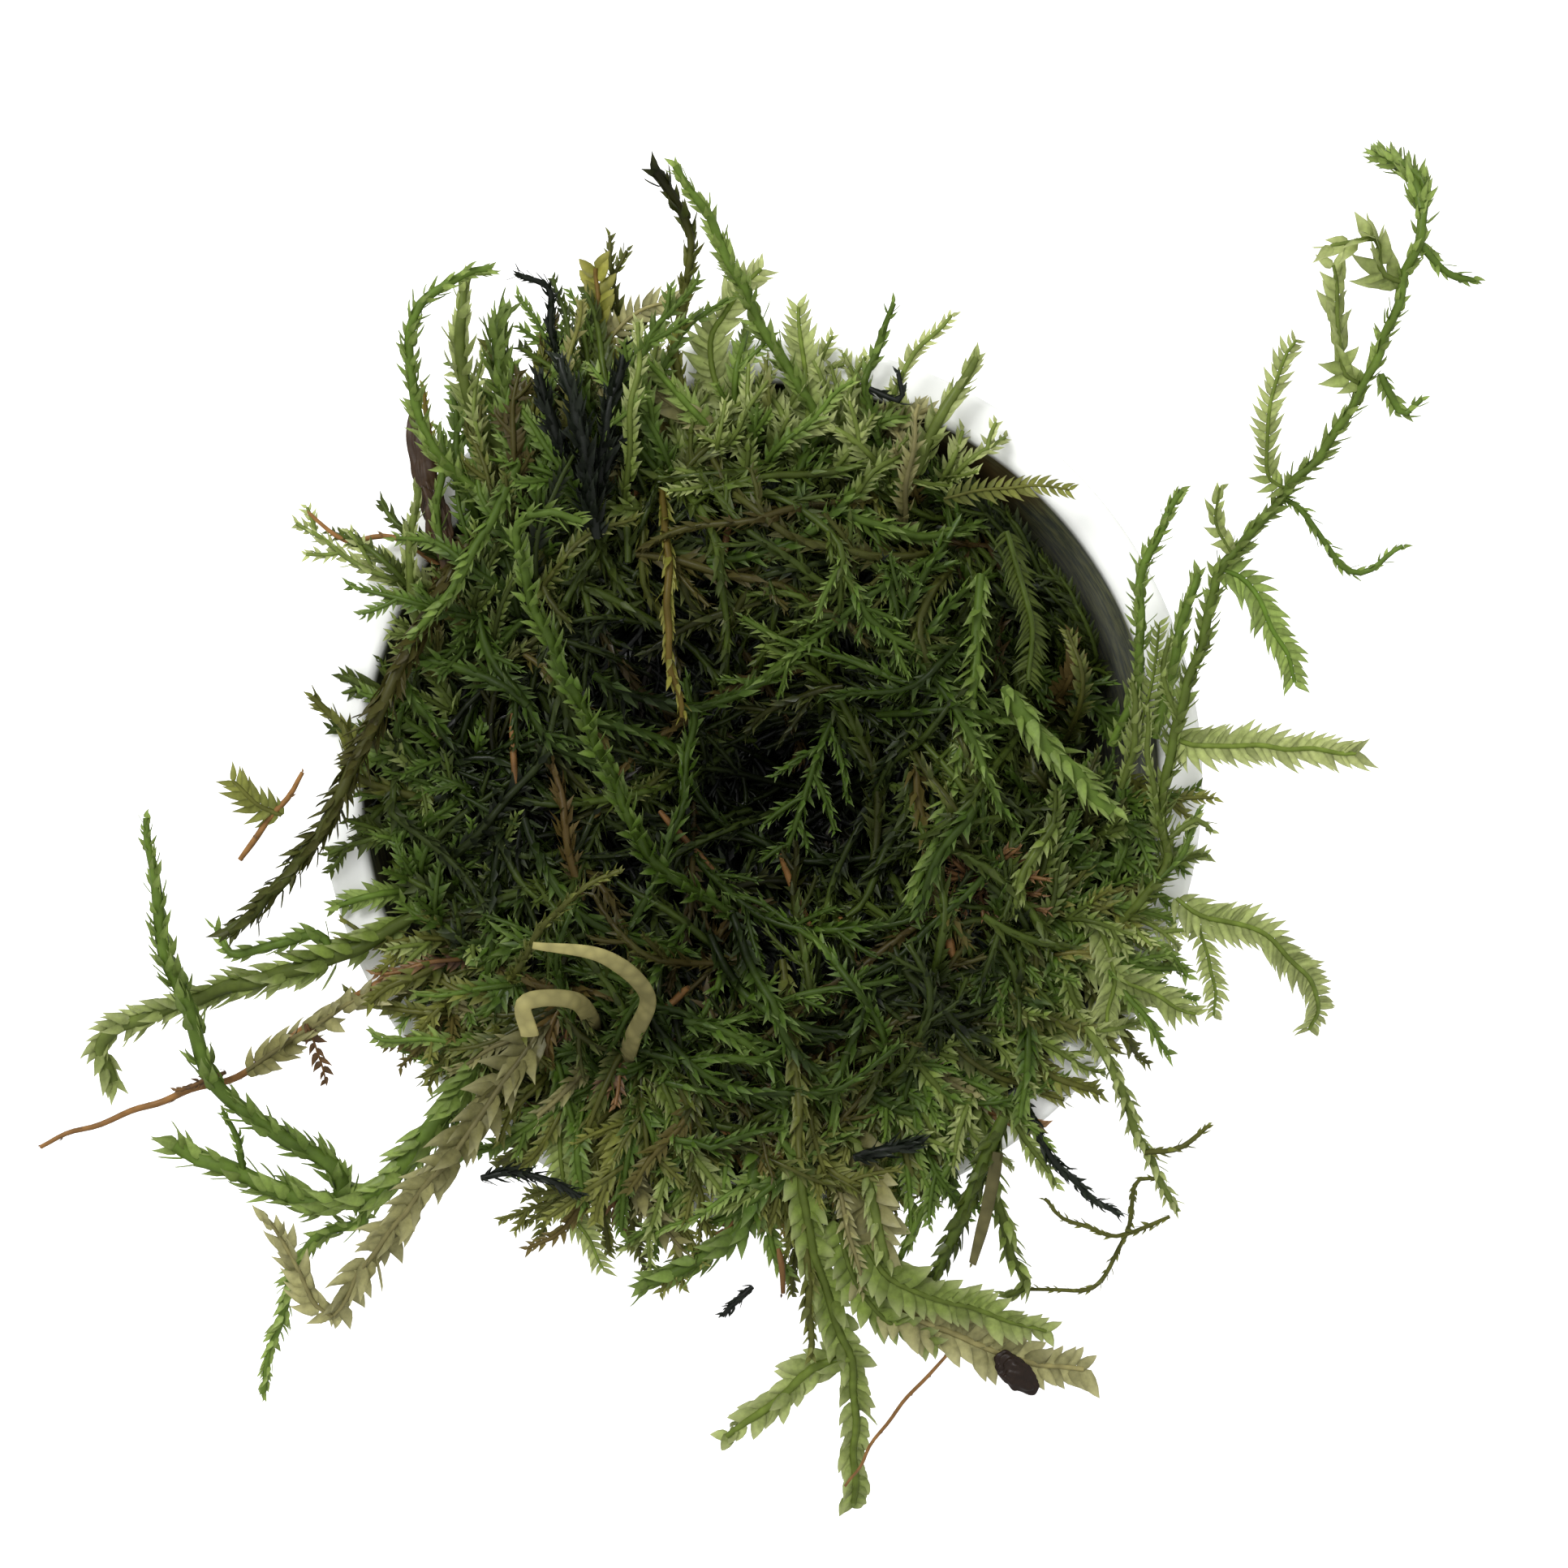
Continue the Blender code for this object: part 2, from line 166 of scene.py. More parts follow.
def mixShaders(tree, factor, first, second):
    mixed = tree.nodes.new("ShaderNodeMixShader")
    for socket, value in zip(mixed.inputs, (factor, first.outputs[0], second.outputs[0])):
        link(tree, socket, value)
    return mixed


def newPiece(name, mesh):
    piece = bpy.data.objects.new(name, mesh)
    scene.collection.objects.link(piece)
    return piece


def worked(piece):
    # the piece's mesh with its modifiers worked in, which are then taken off
    ready = bpy.context.evaluated_depsgraph_get()
    mesh = bpy.data.meshes.new_from_object(
        piece.evaluated_get(ready), preserve_all_data_layers=True, depsgraph=ready,
    )
    piece.modifiers.clear()
    return mesh


def handOver(piece, slot, *nodes):
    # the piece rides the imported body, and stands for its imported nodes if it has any
    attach(piece, "root")
    if nodes:
        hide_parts(*nodes)
    triangles[piece.name] = sum(len(p.vertices) - 2 for p in piece.data.polygons)


print("finishes")

# The moss colours: one group works out the colour of a leaf from where it is on its
# shoot (tone, along), which leaf it is (leafShade) and the place on the leaf (leafUV).

leafColours = ("Young", "Grown", "Stem", "Dead", "Tip")


def leafColourGroup():
    inputs = [(label, "NodeSocketColor", None) for label in leafColours]
    outputs = [("Colour", "NodeSocketColor"), ("Height", "NodeSocketFloat"), ("Wet", "NodeSocketFloat")]
    tree, entry, leave = newGroup("leafColour", "ShaderNodeTree", inputs, outputs)
    given = entry.outputs
    where = tree.nodes.new("ShaderNodeTexCoord").outputs["Object"]
    leafPlace = tree.nodes.new("ShaderNodeUVMap")
    leafPlace.uv_map = "leafUV"
    across, up, _ = addNode(tree, "ShaderNodeSeparateXYZ", Vector=leafPlace.outputs[0]).outputs
    tone, dead = attribute(tree, "tone"), attribute(tree, "dead")
    cells = noise(tree, where, 2600.0, 2.0)
    patches = noise(tree, where, 160.0)
    scales = addNode(tree, "ShaderNodeTexVoronoi", Vector=where, Scale=1100.0).outputs["Distance"]
    fromRib = math1(tree, "ABSOLUTE", math1(tree, "MULTIPLY_ADD", across, 2.0, -1.0))
    # painted shade: a tone under zero darkens leaf and stem colours, for the shade deep in the clump; the
    # husk and a black-tipped shoot use it for their own dark colour
    deep = remap(tree, tone, -1.0, 0.0, 0.15, 1.0)

    age = math1(tree, "ADD", tone, remap(tree, patches, 0.3, 0.7, -0.22, 0.22), clamp=True)
    # how bright a leaf is: random leaf to leaf, grainy, lighter to its tip, darker at its edges, and darker
    # by the painted shade of deep tones
    light = times(
        tree,
        remap(tree, attribute(tree, "leafShade"), 0.0, 1.0, 0.72, 1.25),
        remap(tree, cells, 0.3, 0.7, 0.82, 1.15),
        remap(tree, up, 0.0, 1.0, 0.85, 1.1),
        math1(tree, "MULTIPLY_ADD", math1(tree, "POWER", fromRib, 3.0), -0.35, 1.0),
        deep,
    )
    colour = scaled(tree, mix(tree, "RGBA", age, given["Grown"], given["Young"]), light)
    thin = times(tree, remap(tree, up, 0.45, 1.0, 0.0, 0.55), deep)
    colour = mix(tree, "RGBA", thin, colour, given["Tip"])
    colour = mix(tree, "RGBA", dead, colour, given["Dead"])
    stem = mix(tree, "RGBA", 0.5, given["Stem"], remap(tree, scales, 0.1, 0.7, 1.1, 0.45), "MULTIPLY")
    stem = scaled(tree, stem, times(tree, remap(tree, age, 0.0, 1.0, 0.8, 1.75), deep))
    stem = mix(tree, "RGBA", dead, stem, given["Dead"])
    height = math1(tree, "MULTIPLY_ADD", fromRib, 0.6, cells)
    setSockets(
        tree, leave,
        Colour=mix(tree, "RGBA", attribute(tree, "stem"), colour, stem),
        Height=math1(tree, "MULTIPLY_ADD", scales, -1.5, height),
        Wet=remap(tree, patches, 0.35, 0.65, 0.0, 1.0),
    )
    return tree


# the colours as they are seen, and how much light comes through the leaves
mossLooks = {
    "moss_bright": {
        "Young": (208, 218, 142), "Grown": (144, 166, 76), "Stem": (134, 154, 66), "Dead": (150, 132, 70),
        "Tip": (214, 218, 164), "glow": 0.5,
    },
    "moss_green": {
        "Young": (166, 190, 98), "Grown": (90, 120, 40), "Stem": (108, 138, 50), "Dead": (104, 88, 46),
        "Tip": (156, 168, 112), "glow": 0.4,
    },
    "moss_dark": {
        "Young": (84, 98, 36), "Grown": (28, 38, 14), "Stem": (84, 102, 36), "Dead": (78, 62, 32),
        "Tip": (78, 88, 48), "glow": 0.3,
    },
    "moss_black": {
        "Young": (40, 48, 34), "Grown": (14, 19, 13), "Stem": (24, 30, 21), "Dead": (44, 38, 28),
        "Tip": (50, 58, 42), "glow": 0.1,
    },
    "moss_olive": {
        "Young": (146, 150, 70), "Grown": (82, 92, 36), "Stem": (104, 106, 46), "Dead": (108, 86, 46),
        "Tip": (150, 148, 96), "glow": 0.35,
    },
    "moss_golden": {
        "Young": (196, 188, 92), "Grown": (124, 128, 42), "Stem": (130, 104, 46), "Dead": (134, 92, 38),
        "Tip": (180, 174, 100), "glow": 0.35,
    },
    "moss_beige": {
        "Young": (204, 200, 142), "Grown": (152, 148, 92), "Stem": (172, 164, 108), "Dead": (146, 124, 84),
        "Tip": (208, 204, 156), "glow": 0.45,
    },
    "dead_brown": {
        "Young": (150, 114, 70), "Grown": (66, 48, 36), "Stem": (130, 94, 52), "Dead": (56, 42, 28),
        "Tip": (140, 110, 72), "glow": 0.1,
    },
}


def mossMaterial(slot, look):
    material, tree, leaf = newMaterial(slot + "Finish")
    colour = tree.nodes.new("ShaderNodeGroup")
    colour.node_tree = leafColour
    for label in leafColours:
        colour.inputs[label].default_value = pigment(look[label])
    seen, height, wet = colour.outputs
    bump = addNode(tree, "ShaderNodeBump", Strength=0.35, Distance=0.06 * mm, Height=height)
    setSockets(
        tree, leaf, Base_Color=seen, Specular_IOR_Level=0.16, Normal=bump.outputs[0],
        Roughness=remap(tree, wet, 0.0, 1.0, 0.6, 0.3),
    )
    through = addNode(tree, "ShaderNodeBsdfTranslucent", Color=seen)
    mixed = mixShaders(tree, look["glow"], leaf, through)
    tree.links.new(mixed.outputs[0], tree.nodes["Material Output"].inputs[0])
    return material


leafColour = leafColourGroup()
mossFinish = {slot: mossMaterial(slot, look) for slot, look in mossLooks.items()}

print("leaf shapes")

# A leaf is one wide and one long, with its foot at the origin and its tip along +Y.
# Its tip leans to +X, which is the way to the shoot's tip. A row is how far up it lies
# and half its width.

leafShapes = {
    "fineLeaf": {"rows": [(0.1, 0.4), (0.34, 0.5), (0.6, 0.34), (0.82, 0.14)], "lean": 0.7, "cup": 0.05},
    "roundLeaf": {"rows": [(0.12, 0.44), (0.38, 0.5), (0.66, 0.38), (0.87, 0.17)], "lean": 0.35, "cup": 0.06},
    "middleLeaf": {"rows": [(0.24, 0.5), (0.6, 0.3)], "lean": 0.45, "cup": 0.05},
    "plainLeaf": {"rows": [(0.28, 0.5)], "lean": 0.45, "cup": 0.05},
}


def leafObject(name, shape):
    mesh = bpy.data.meshes.new(name)
    blade = bmesh.new()
    uvs = blade.loops.layers.uv.new("leafUV")
    lean, cup = shape["lean"], shape["cup"]
    foot = blade.verts.new((0, 0, 0))
    rows = []
    for up, half in shape["rows"]:
        places = [(lean * up * up + side * half, up, cup * (side * side - up * up)) for side in (-1, 0, 1)]
        rows.append([blade.verts.new(spot) for spot in places])
    tip = blade.verts.new((lean, 1, -cup))
    for side in (0, 1):
        blade.faces.new((foot, rows[0][side + 1], rows[0][side]))
        for low, high in zip(rows, rows[1:]):
            blade.faces.new((low[side], low[side + 1], high[side + 1], high[side]))
        blade.faces.new((rows[-1][side], rows[-1][side + 1], tip))
    acrossOf = {foot: 0.5, tip: 0.5}
    for row in rows:
        acrossOf.update(zip(row, (0.0, 0.5, 1.0)))
    for face in blade.faces:
        for corner in face.loops:
            corner[uvs].uv = (acrossOf[corner.vert], corner.vert.co.y)
    blade.to_mesh(mesh)
    blade.free()
    mesh.shade_smooth()
    return newPiece(name, mesh)


leaves = {name: leafObject(name, shape) for name, shape in leafShapes.items()}

# The shoot: a stem along each line of the mesh that the tree is given, with leaves set
# along it in two rows, or all round it as spiral nears 1. The lines carry size, tone,
# twist, dead and along. Lengths are in metres and angles in radians.

def frondTree():
    floats = {
        "spacing": 0.4 * mm, "leafLong": 1.5 * mm, "leafWide": 0.7 * mm, "footAngle": 1.0, "tipAngle": 0.7,
        "spiral": 0.0, "ragged": 0.2, "stemThick": 0.15 * mm, "stemColour": 1.0, "stemFlat": 1.0,
    }
    inputs = [("Lines", "NodeSocketGeometry", None), ("leaf", "NodeSocketObject", None)]
    inputs += [("finish", "NodeSocketMaterial", None)]
    inputs += [(label, "NodeSocketFloat", value) for label, value in floats.items()]
    inputs += [("stemSides", "NodeSocketInt", 4), ("seed", "NodeSocketInt", 1)]
    tree, entry, leave = newGroup("mossShoot", "GeometryNodeTree", inputs, [("Shoots", "NodeSocketGeometry")])
    given = entry.outputs

    def node(kind, **sockets):
        return addNode(tree, kind, **sockets)

    def named(label):
        return node("GeometryNodeInputNamedAttribute", Name=label).outputs["Attribute"]

    def stored(geometry, label, value, domain):
        made = node("GeometryNodeStoreNamedAttribute", Geometry=geometry, Name=label, Value=value)
        made.domain = domain
        return made.outputs[0]

    def chance(low, high, step):
        made = tree.nodes.new("FunctionNodeRandomValue")
        made.data_type = "FLOAT"
        for at, value in ((2, low), (3, high)):
            link(tree, made.inputs[at], value)
        link(tree, made.inputs["Seed"], math1(tree, "ADD", given["seed"], float(step)))
        return made.outputs[1]

    def astray(share, step):
        # a random angle, up to so many times ragged either way
        return chance(times(tree, given["ragged"], -share), times(tree, given["ragged"], share), step)

    lines = node("GeometryNodeMeshToCurve", Mesh=given["Lines"]).outputs[0]
    lines = node("GeometryNodeSetCurveNormal", Curve=lines)
    lines.mode = "Z_UP"
    lines = node("GeometryNodeSetCurveTilt", Curve=lines.outputs[0], Tilt=named("twist")).outputs[0]
    thick = times(tree, named("size"), given["stemThick"])
    outline = node("GeometryNodeCurvePrimitiveCircle", Resolution=given["stemSides"], Radius=1.0).outputs[0]
    flatter = node("ShaderNodeCombineXYZ", X=1.0, Y=given["stemFlat"], Z=1.0).outputs[0]
    outline = node("GeometryNodeTransform", Geometry=outline, Scale=flatter).outputs[0]
    stems = node("GeometryNodeCurveToMesh", Curve=lines, Profile_Curve=outline, Scale=thick, Fill_Caps=True)
    stems = stored(stems.outputs[0], "stem", given["stemColour"], "POINT")

    points = tree.nodes.new("GeometryNodeCurveToPoints")
    points.mode = "LENGTH"
    setSockets(tree, points, Curve=lines, Length=given["spacing"])
    ahead, side = points.outputs["Tangent"], points.outputs["Normal"]
    over = math3(tree, "CROSS_PRODUCT", side, ahead)
    count = node("GeometryNodeInputIndex").outputs[0]
    # spiral is the share of the leaves that stand all round the stem
    standing = math1(tree, "LESS_THAN", chance(0.0, 1.0, 5), given["spiral"])
    leftRight = times(tree, math1(tree, "MODULO", count, 2.0), math.pi)
    about = mix(tree, "FLOAT", standing, leftRight, times(tree, count, 2.4))
    about = math1(tree, "ADD", about, astray(2.0, 1))
    beside = scaled(tree, side, math1(tree, "COSINE", about))
    above = scaled(tree, over, math1(tree, "SINE", about))
    outward = math3(tree, "ADD", beside, above)
    lean = remap(tree, named("along"), 0.0, 1.0, given["footAngle"], given["tipAngle"])
    lean = times(tree, lean, remap(tree, standing, 0.0, 1.0, 1.0, 0.6))
    lean = math1(tree, "ADD", lean, astray(1.0, 2))
    leafWay = math3(
        tree, "ADD",
        scaled(tree, ahead, math1(tree, "COSINE", lean)),
        scaled(tree, outward, math1(tree, "SINE", lean)),
    )
    # a flat shoot's leaves face up, and a round one's face away from the stem
    flatFace = math3(tree, "CROSS_PRODUCT", ahead, outward)
    facing = mix(tree, "VECTOR", standing, flatFace, math3(tree, "CROSS_PRODUCT", flatFace, leafWay))
    turned = tree.nodes.new("FunctionNodeAxesToRotation")
    turned.primary_axis = "Y"
    turned.secondary_axis = "Z"
    link(tree, turned.inputs[0], leafWay)
    link(tree, turned.inputs[1], facing)
    # a standing leaf starts on the stem's skin, and a flat shoot's leaf behind its middle
    skin = times(tree, thick, remap(tree, standing, 0.0, 1.0, -0.3, 0.8))
    footPlace = math3(
        tree, "ADD", scaled(tree, beside, skin), scaled(tree, above, times(tree, skin, given["stemFlat"])),
    )
    points = node("GeometryNodeSetPosition", Geometry=points.outputs[0], Offset=footPlace).outputs[0]
    spread = node("ShaderNodeCombineXYZ", X=given["leafWide"], Y=given["leafLong"], Z=given["leafLong"])
    spread = scaled(tree, spread.outputs[0], times(tree, named("size"), chance(0.8, 1.15, 3)))
    shape = node("GeometryNodeObjectInfo", Object=given["leaf"], As_Instance=True).outputs["Geometry"]
    grown = node("GeometryNodeInstanceOnPoints", Points=points, Instance=shape, Scale=spread)
    link(tree, grown.inputs["Rotation"], turned.outputs[0])
    grown = stored(grown.outputs[0], "leafShade", chance(0.0, 1.0, 4), "INSTANCE")

    both = tree.nodes.new("GeometryNodeJoinGeometry")
    tree.links.new(stems, both.inputs[0])
    tree.links.new(grown, both.inputs[0])
    real = node("GeometryNodeRealizeInstances", Geometry=both.outputs[0]).outputs[0]
    done = node("GeometryNodeSetMaterial", Geometry=real, Material=given["finish"]).outputs[0]
    tree.links.new(done, leave.inputs[0])
    return tree


mossShoot = frondTree()
lineValues = ("size", "tone", "twist", "dead", "along")


def setInputs(modifier, values):
    # by the sockets' identifiers, before the object is first evaluated
    for item in modifier.node_group.interface.items_tree:
        if item.item_type == "SOCKET" and item.in_out == "INPUT" and item.name in values:
            modifier[item.identifier] = values[item.name]


def grow(name, lines, slot, build, *nodes):
    # lines: one dictionary for each shoot, with its points and what they carry
    edges = []
    start = 0
    for line in lines:
        count = len(line["points"])
        edges += [(start + i, start + i + 1) for i in range(count - 1)]
        start += count
    guide = bpy.data.meshes.new(name)
    guide.from_pydata((np.concatenate([line["points"] for line in lines]) * mm).tolist(), edges, [])
    for label in lineValues:
        layer = guide.attributes.new(label, "FLOAT", "POINT")
        carried = np.concatenate([line[label] for line in lines])
        layer.data.foreach_set("value", carried.astype(np.float32))
    piece = newPiece(name, guide)
    growing = piece.modifiers.new("mossShoot", "NODES")
    growing.node_group = mossShoot
    setInputs(growing, {"finish": mossFinish[slot], **build})
    piece.data = worked(piece)
    bpy.data.meshes.remove(guide)
    piece.data.name = name
    piece.data.shade_smooth()
    handOver(piece, slot, *nodes)


# Lines

def place(across, along, height):
    # the real place, in millimetres, of a point of the plan seen from the eye
    nearer = (eye["overLip"] - height) / eye["overLip"]
    x, y = eye["x"] + (across - eye["x"]) * nearer, eye["y"] + (along - eye["y"]) * nearer
    return np.array((x, y, cupSizes["height"] + height))


def smoothLine(places, step):
    # points at even steps along a smooth curve through the places
    places = [2 * places[0] - places[1], *places, 2 * places[-1] - places[-2]]
    fine = []
    for before, start, end, after in zip(places, places[1:], places[2:], places[3:]):
        for part in np.linspace(0, 1, 12, endpoint=False):
            bend = 2 * before - 5 * start + 4 * end - after
            twist = 3 * start - before - 3 * end + after
            fine.append(0.5 * (2 * start + (end - before) * part + bend * part**2 + twist * part**3))
    fine = np.array([*fine, places[-2]])
    run = np.concatenate([[0], np.cumsum(np.linalg.norm(np.diff(fine, axis=0), axis=1))])
    steps = np.linspace(0, run[-1], max(4, round(run[-1] / step) + 1))
    return np.stack([np.interp(steps, run, fine[:, axis]) for axis in range(3)], axis=1)


def dressed(points, chance, size, tone, dead=(0, 0), twist=0.0, wobble=0.0, foot=0.8, tip=0.65):
    # adds what the shoot's leaves need to its points
    count = len(points)
    along = np.linspace(0, 1, count)
    if wobble:
        shift, speed = chance.uniform(0, turn, 3), chance.uniform(0.5, 1.3, 3)
        for axis in range(3):
            swing = np.sin(shift[axis] + speed[axis] * np.arange(count) * 0.9)
            points[:, axis] += swing * wobble * np.sin(along * math.pi / 2)
    return {
        "points": points,
        "size": size * np.interp(along, (0, 0.15, 0.7, 1), (foot, 1, 0.9, tip)),
        "tone": np.linspace(*tone, count),
        "dead": np.linspace(*dead, count),
        "twist": twist + chance.uniform(-0.5, 0.5) * np.sin(along * 3 + chance.uniform(0, turn)),
        "along": along,
    }


# How a shoot is built: its leaf, how far apart the leaves are, how long and how wide,
# their angle at the shoot's foot and at its tip, the share that stands all round, how
# ragged they are, and the stem's thickness, sides, colour and flatness.

def shootBuild(leaf, spacing, leafLong, leafWide, footAngle, tipAngle, spiral, ragged, *stem):
    stemThick, stemSides, stemColour, stemFlat = (*stem, 1.0)[:4]
    return {
        "leaf": leaves[leaf], "spacing": spacing * mm, "leafLong": leafLong * mm, "leafWide": leafWide * mm,
        "footAngle": footAngle, "tipAngle": tipAngle, "spiral": spiral, "ragged": ragged,
        "stemThick": stemThick * mm, "stemSides": stemSides, "stemColour": stemColour, "stemFlat": stemFlat,
    }


shootBuilds = {
    "bed": shootBuild("plainLeaf", 0.21, 1.15, 0.4, 0.95, 0.75, 0.5, 0.3, 0.25, 5, 0.5),
    "frond": shootBuild("middleLeaf", 0.21, 1.15, 0.4, 0.95, 0.75, 0.5, 0.3, 0.25, 5, 0.5),
    "fringe": shootBuild("middleLeaf", 0.26, 1.45, 0.62, 1.05, 0.8, 0.12, 0.2, 0.24, 5, 0.7),
    "feather": shootBuild("fineLeaf", 0.28, 2.2, 0.76, 1.15, 0.9, 0.0, 0.12, 0.2, 5, 1.0),
    "rounded": shootBuild("roundLeaf", 0.38, 2.3, 1.25, 1.0, 0.75, 0.1, 0.2, 0.32, 7, 1.0),
    "bodied": shootBuild("fineLeaf", 0.24, 1.5, 0.7, 1.0, 0.75, 0.4, 0.2, 0.36, 7, 0.6),
    "rope": shootBuild("fineLeaf", 0.17, 1.25, 0.62, 0.9, 0.75, 0.6, 0.2, 0.42, 8, 0.55),
    "bold": shootBuild("fineLeaf", 0.22, 1.5, 0.85, 1.0, 0.85, 0.6, 0.24, 0.36, 10, 0.55),
    "thin": shootBuild("fineLeaf", 0.27, 1.0, 0.46, 0.95, 0.7, 0.4, 0.3, 0.25, 6, 0.6),
    "broad": shootBuild("roundLeaf", 0.4, 2.7, 1.4, 1.15, 1.0, 0.0, 0.16, 0.24, 7, 1.0),
    "prickly": shootBuild("fineLeaf", 0.18, 1.25, 0.56, 1.1, 0.9, 0.6, 0.3, 0.34, 8, 0.6),
    "tufty": shootBuild("fineLeaf", 0.13, 1.15, 0.4, 0.95, 0.8, 0.7, 0.4, 0.3, 7, 0.5),
    "shaggy": shootBuild("fineLeaf", 0.36, 2.5, 1.25, 1.0, 0.9, 0.1, 0.4, 0.2, 7, 0.7),
    "scaly": shootBuild("fineLeaf", 0.2, 2.0, 0.9, 1.0, 0.8, 0.65, 0.2, 0.6, 12, 0.6, 0.4),
    "comb": shootBuild("fineLeaf", 0.16, 2.0, 0.36, 1.15, 1.0, 0.15, 0.08, 0.24, 6, 0.5),
    "blade": shootBuild("plainLeaf", 60, 0.5, 0.3, 0.5, 0.3, 0.0, 0.1, 0.62, 12, 0.9, 0.35),
    "strap": shootBuild("fineLeaf", 0.55, 1.9, 0.9, 0.5, 0.3, 0.0, 0.15, 1.15, 14, 0.8, 0.22),
    "bare": shootBuild("fineLeaf", 1.7, 0.6, 0.35, 0.5, 0.3, 1.0, 0.5, 0.26, 8, 1.0),
}

# The bed of moss

bedShape = {
    "gap": 0.55, "hollow": -7.0, "crown": 1.5, "crownAt": 0.62, "edge": -1.8, "edgeUnder": 2,
    "eastDepth": -8.0, "eastInset": 3.5, "eastAngle": math.radians(24), "eastSpread": math.radians(36),
    # hollows between the shoots: east, north, how wide and how deep
    "hollows": [
        (-18.5, 2.5, 4.5, 2.2), (4.6, 0.8, 4, 3), (-6.5, 9.5, 3.6, 2.6), (-3.2, -12.5, 3, 2.2),
        (8.4, -4.5, 3.6, 2.6), (-10.2, -5.8, 3.4, 2.4), (4.4, -17.8, 3, 1.8), (-10, -21.5, 2.6, 1.5),
        (-24, -8.5, 2.6, 1.2), (12.5, -14, 2.8, 1.8), (-20, -4, 6, 1.2), (-13, -19, 5, 0.7),
        (-21, 7, 4.5, 0.8),
    ],
}


def wallInside(z):
    # radius of the cup's inside at a height
    inside = cupSizes["base"] - cupSizes["wall"]
    return inside + (cupSizes["mouth"] - inside) * z / cupSizes["height"]


def smoothStep(value):
    held = min(max(value, 0.0), 1.0)
    return held * held * (3 - 2 * held)


def eastGap(angle):
    turned = (angle - bedShape["eastAngle"] + math.pi) % turn - math.pi
    return math.exp(-((turned / bedShape["eastSpread"]) ** 2))


def bedEdge(angle):
    wall = wallInside(cupSizes["height"] + bedShape["edge"] - bedShape["edgeUnder"])
    return wall - bedShape["gap"] - bedShape["eastInset"] * eastGap(angle)


def hill(x, y, east, north, spread):
    # a round hill that is one high in its middle
    return math.exp(-((x - east) ** 2 + (y - north) ** 2) / spread)


def hollow(x, y):
    return sum(deep * hill(x, y, east, north, wide**2) for east, north, wide, deep in bedShape["hollows"])


def bedTop(x, y):
    # height of the bed over the cup's underside
    angle = math.atan2(y, x)
    across = min(math.hypot(x, y) / bedEdge(angle), 1)
    crown = bedShape["crownAt"]
    inner = (bedShape["crown"] - bedShape["hollow"]) * smoothStep(across / crown)
    outer = (bedShape["edge"] - bedShape["crown"]) * smoothStep((across - crown) / (1 - crown))
    lumps = 0.5 * math.sin(3 * angle + 6 * across) + 0.4 * math.sin(5 * angle - 9 * across)
    gap = bedShape["eastDepth"] * eastGap(angle) * smoothStep((across - 0.55) / 0.45)
    middle = cupSizes["height"] + bedShape["hollow"]
    return middle + inner + outer + lumps * smoothStep(across * 2) + gap - hollow(x, y)


def paintedBedShade(points):
    # painted shade: darker in the hollows, the middle, west and south, and lower down, with broad patches
    shades = []
    for x, y, z in points:
        patch = 0.3 * math.sin(0.31 * x + 1.3) * math.sin(0.27 * y - 0.6) + 0.2 * math.sin(0.6 * x - 0.5 * y)
        middle, west, south = hill(x, y, 1, -1, 130), hill(x, y, -17, 1, 70), hill(0, y, 0, -15, 70)
        dark = 0.2 + 0.48 * middle + 0.45 * west + 0.22 * south + 0.3 * hollow(x, y)
        shades.append(patch - dark - 0.05 * max(0, 31 - z))
    return np.array(shades)


# "lift" is how far a shoot lies over the bed, and "open" how many are left out of the middle
bedMats = {
    # the deep mat's near-black colour is painted shade, for the depths of the bed
    "deepMat": {
        "slot": "moss_black", "shoots": 220, "lift": (-0.8, 0.4), "long": (10, 18), "tone": (0.2, 0.9),
        "open": 0.0, "size": (0.8, 1.15), "seed": 11,
    },
    "middleMat": {
        "slot": "moss_dark", "shoots": 330, "lift": (0.0, 1.6), "long": (10, 20), "tone": (0.1, 0.8),
        "open": 0.3, "size": (0.8, 1.2), "seed": 12,
    },
    "topMat": {
        "slot": "moss_dark", "shoots": 120, "lift": (1.0, 2.8), "long": (9, 20), "tone": (0.7, 1.3),
        "open": 0.5, "size": (1.05, 1.45), "seed": 13,
    },
    "freshMat": {
        "slot": "moss_green", "shoots": 95, "lift": (1.4, 3.6), "long": (10, 22), "tone": (-0.2, 0.5),
        "open": 0.45, "size": (1.1, 1.5), "seed": 14,
    },
    "oliveMat": {
        "slot": "moss_olive", "shoots": 50, "lift": (0.8, 2.8), "long": (7, 14), "tone": (-0.1, 0.5),
        "open": 0.5, "size": (1.0, 1.4), "seed": 15,
    },
}


def onward(x, y, heading, step):
    # the place one step further on
    return x + step * math.cos(heading), y + step * math.sin(heading)


# a shoot's steps, and how near to the bed's edge it turns back, or ends if it can't
bedTurns = {"step": 1.1, "near": 0.9, "nearest": 0.7, "angle": 0.9}


def bedLine(x, y, heading, length, lift, arch, bend):
    # a shoot that lies over the bed, turning as it goes
    step = bedTurns["step"]
    points = []
    count = max(5, round(length / step))
    for i in range(count):
        edge = bedEdge(math.atan2(y, x))
        points.append((x, y, bedTop(x, y) + lift + arch * math.sin(i / (count - 1) * math.pi * 0.8)))
        heading += bend * step / length
        nextX, nextY = onward(x, y, heading, step)
        if math.hypot(nextX, nextY) > edge - bedTurns["near"]:
            heading += bedTurns["angle"]
            nextX, nextY = onward(x, y, heading, step)
            if math.hypot(nextX, nextY) > edge - bedTurns["nearest"]:
                break
        x, y = nextX, nextY
    return np.array(points)


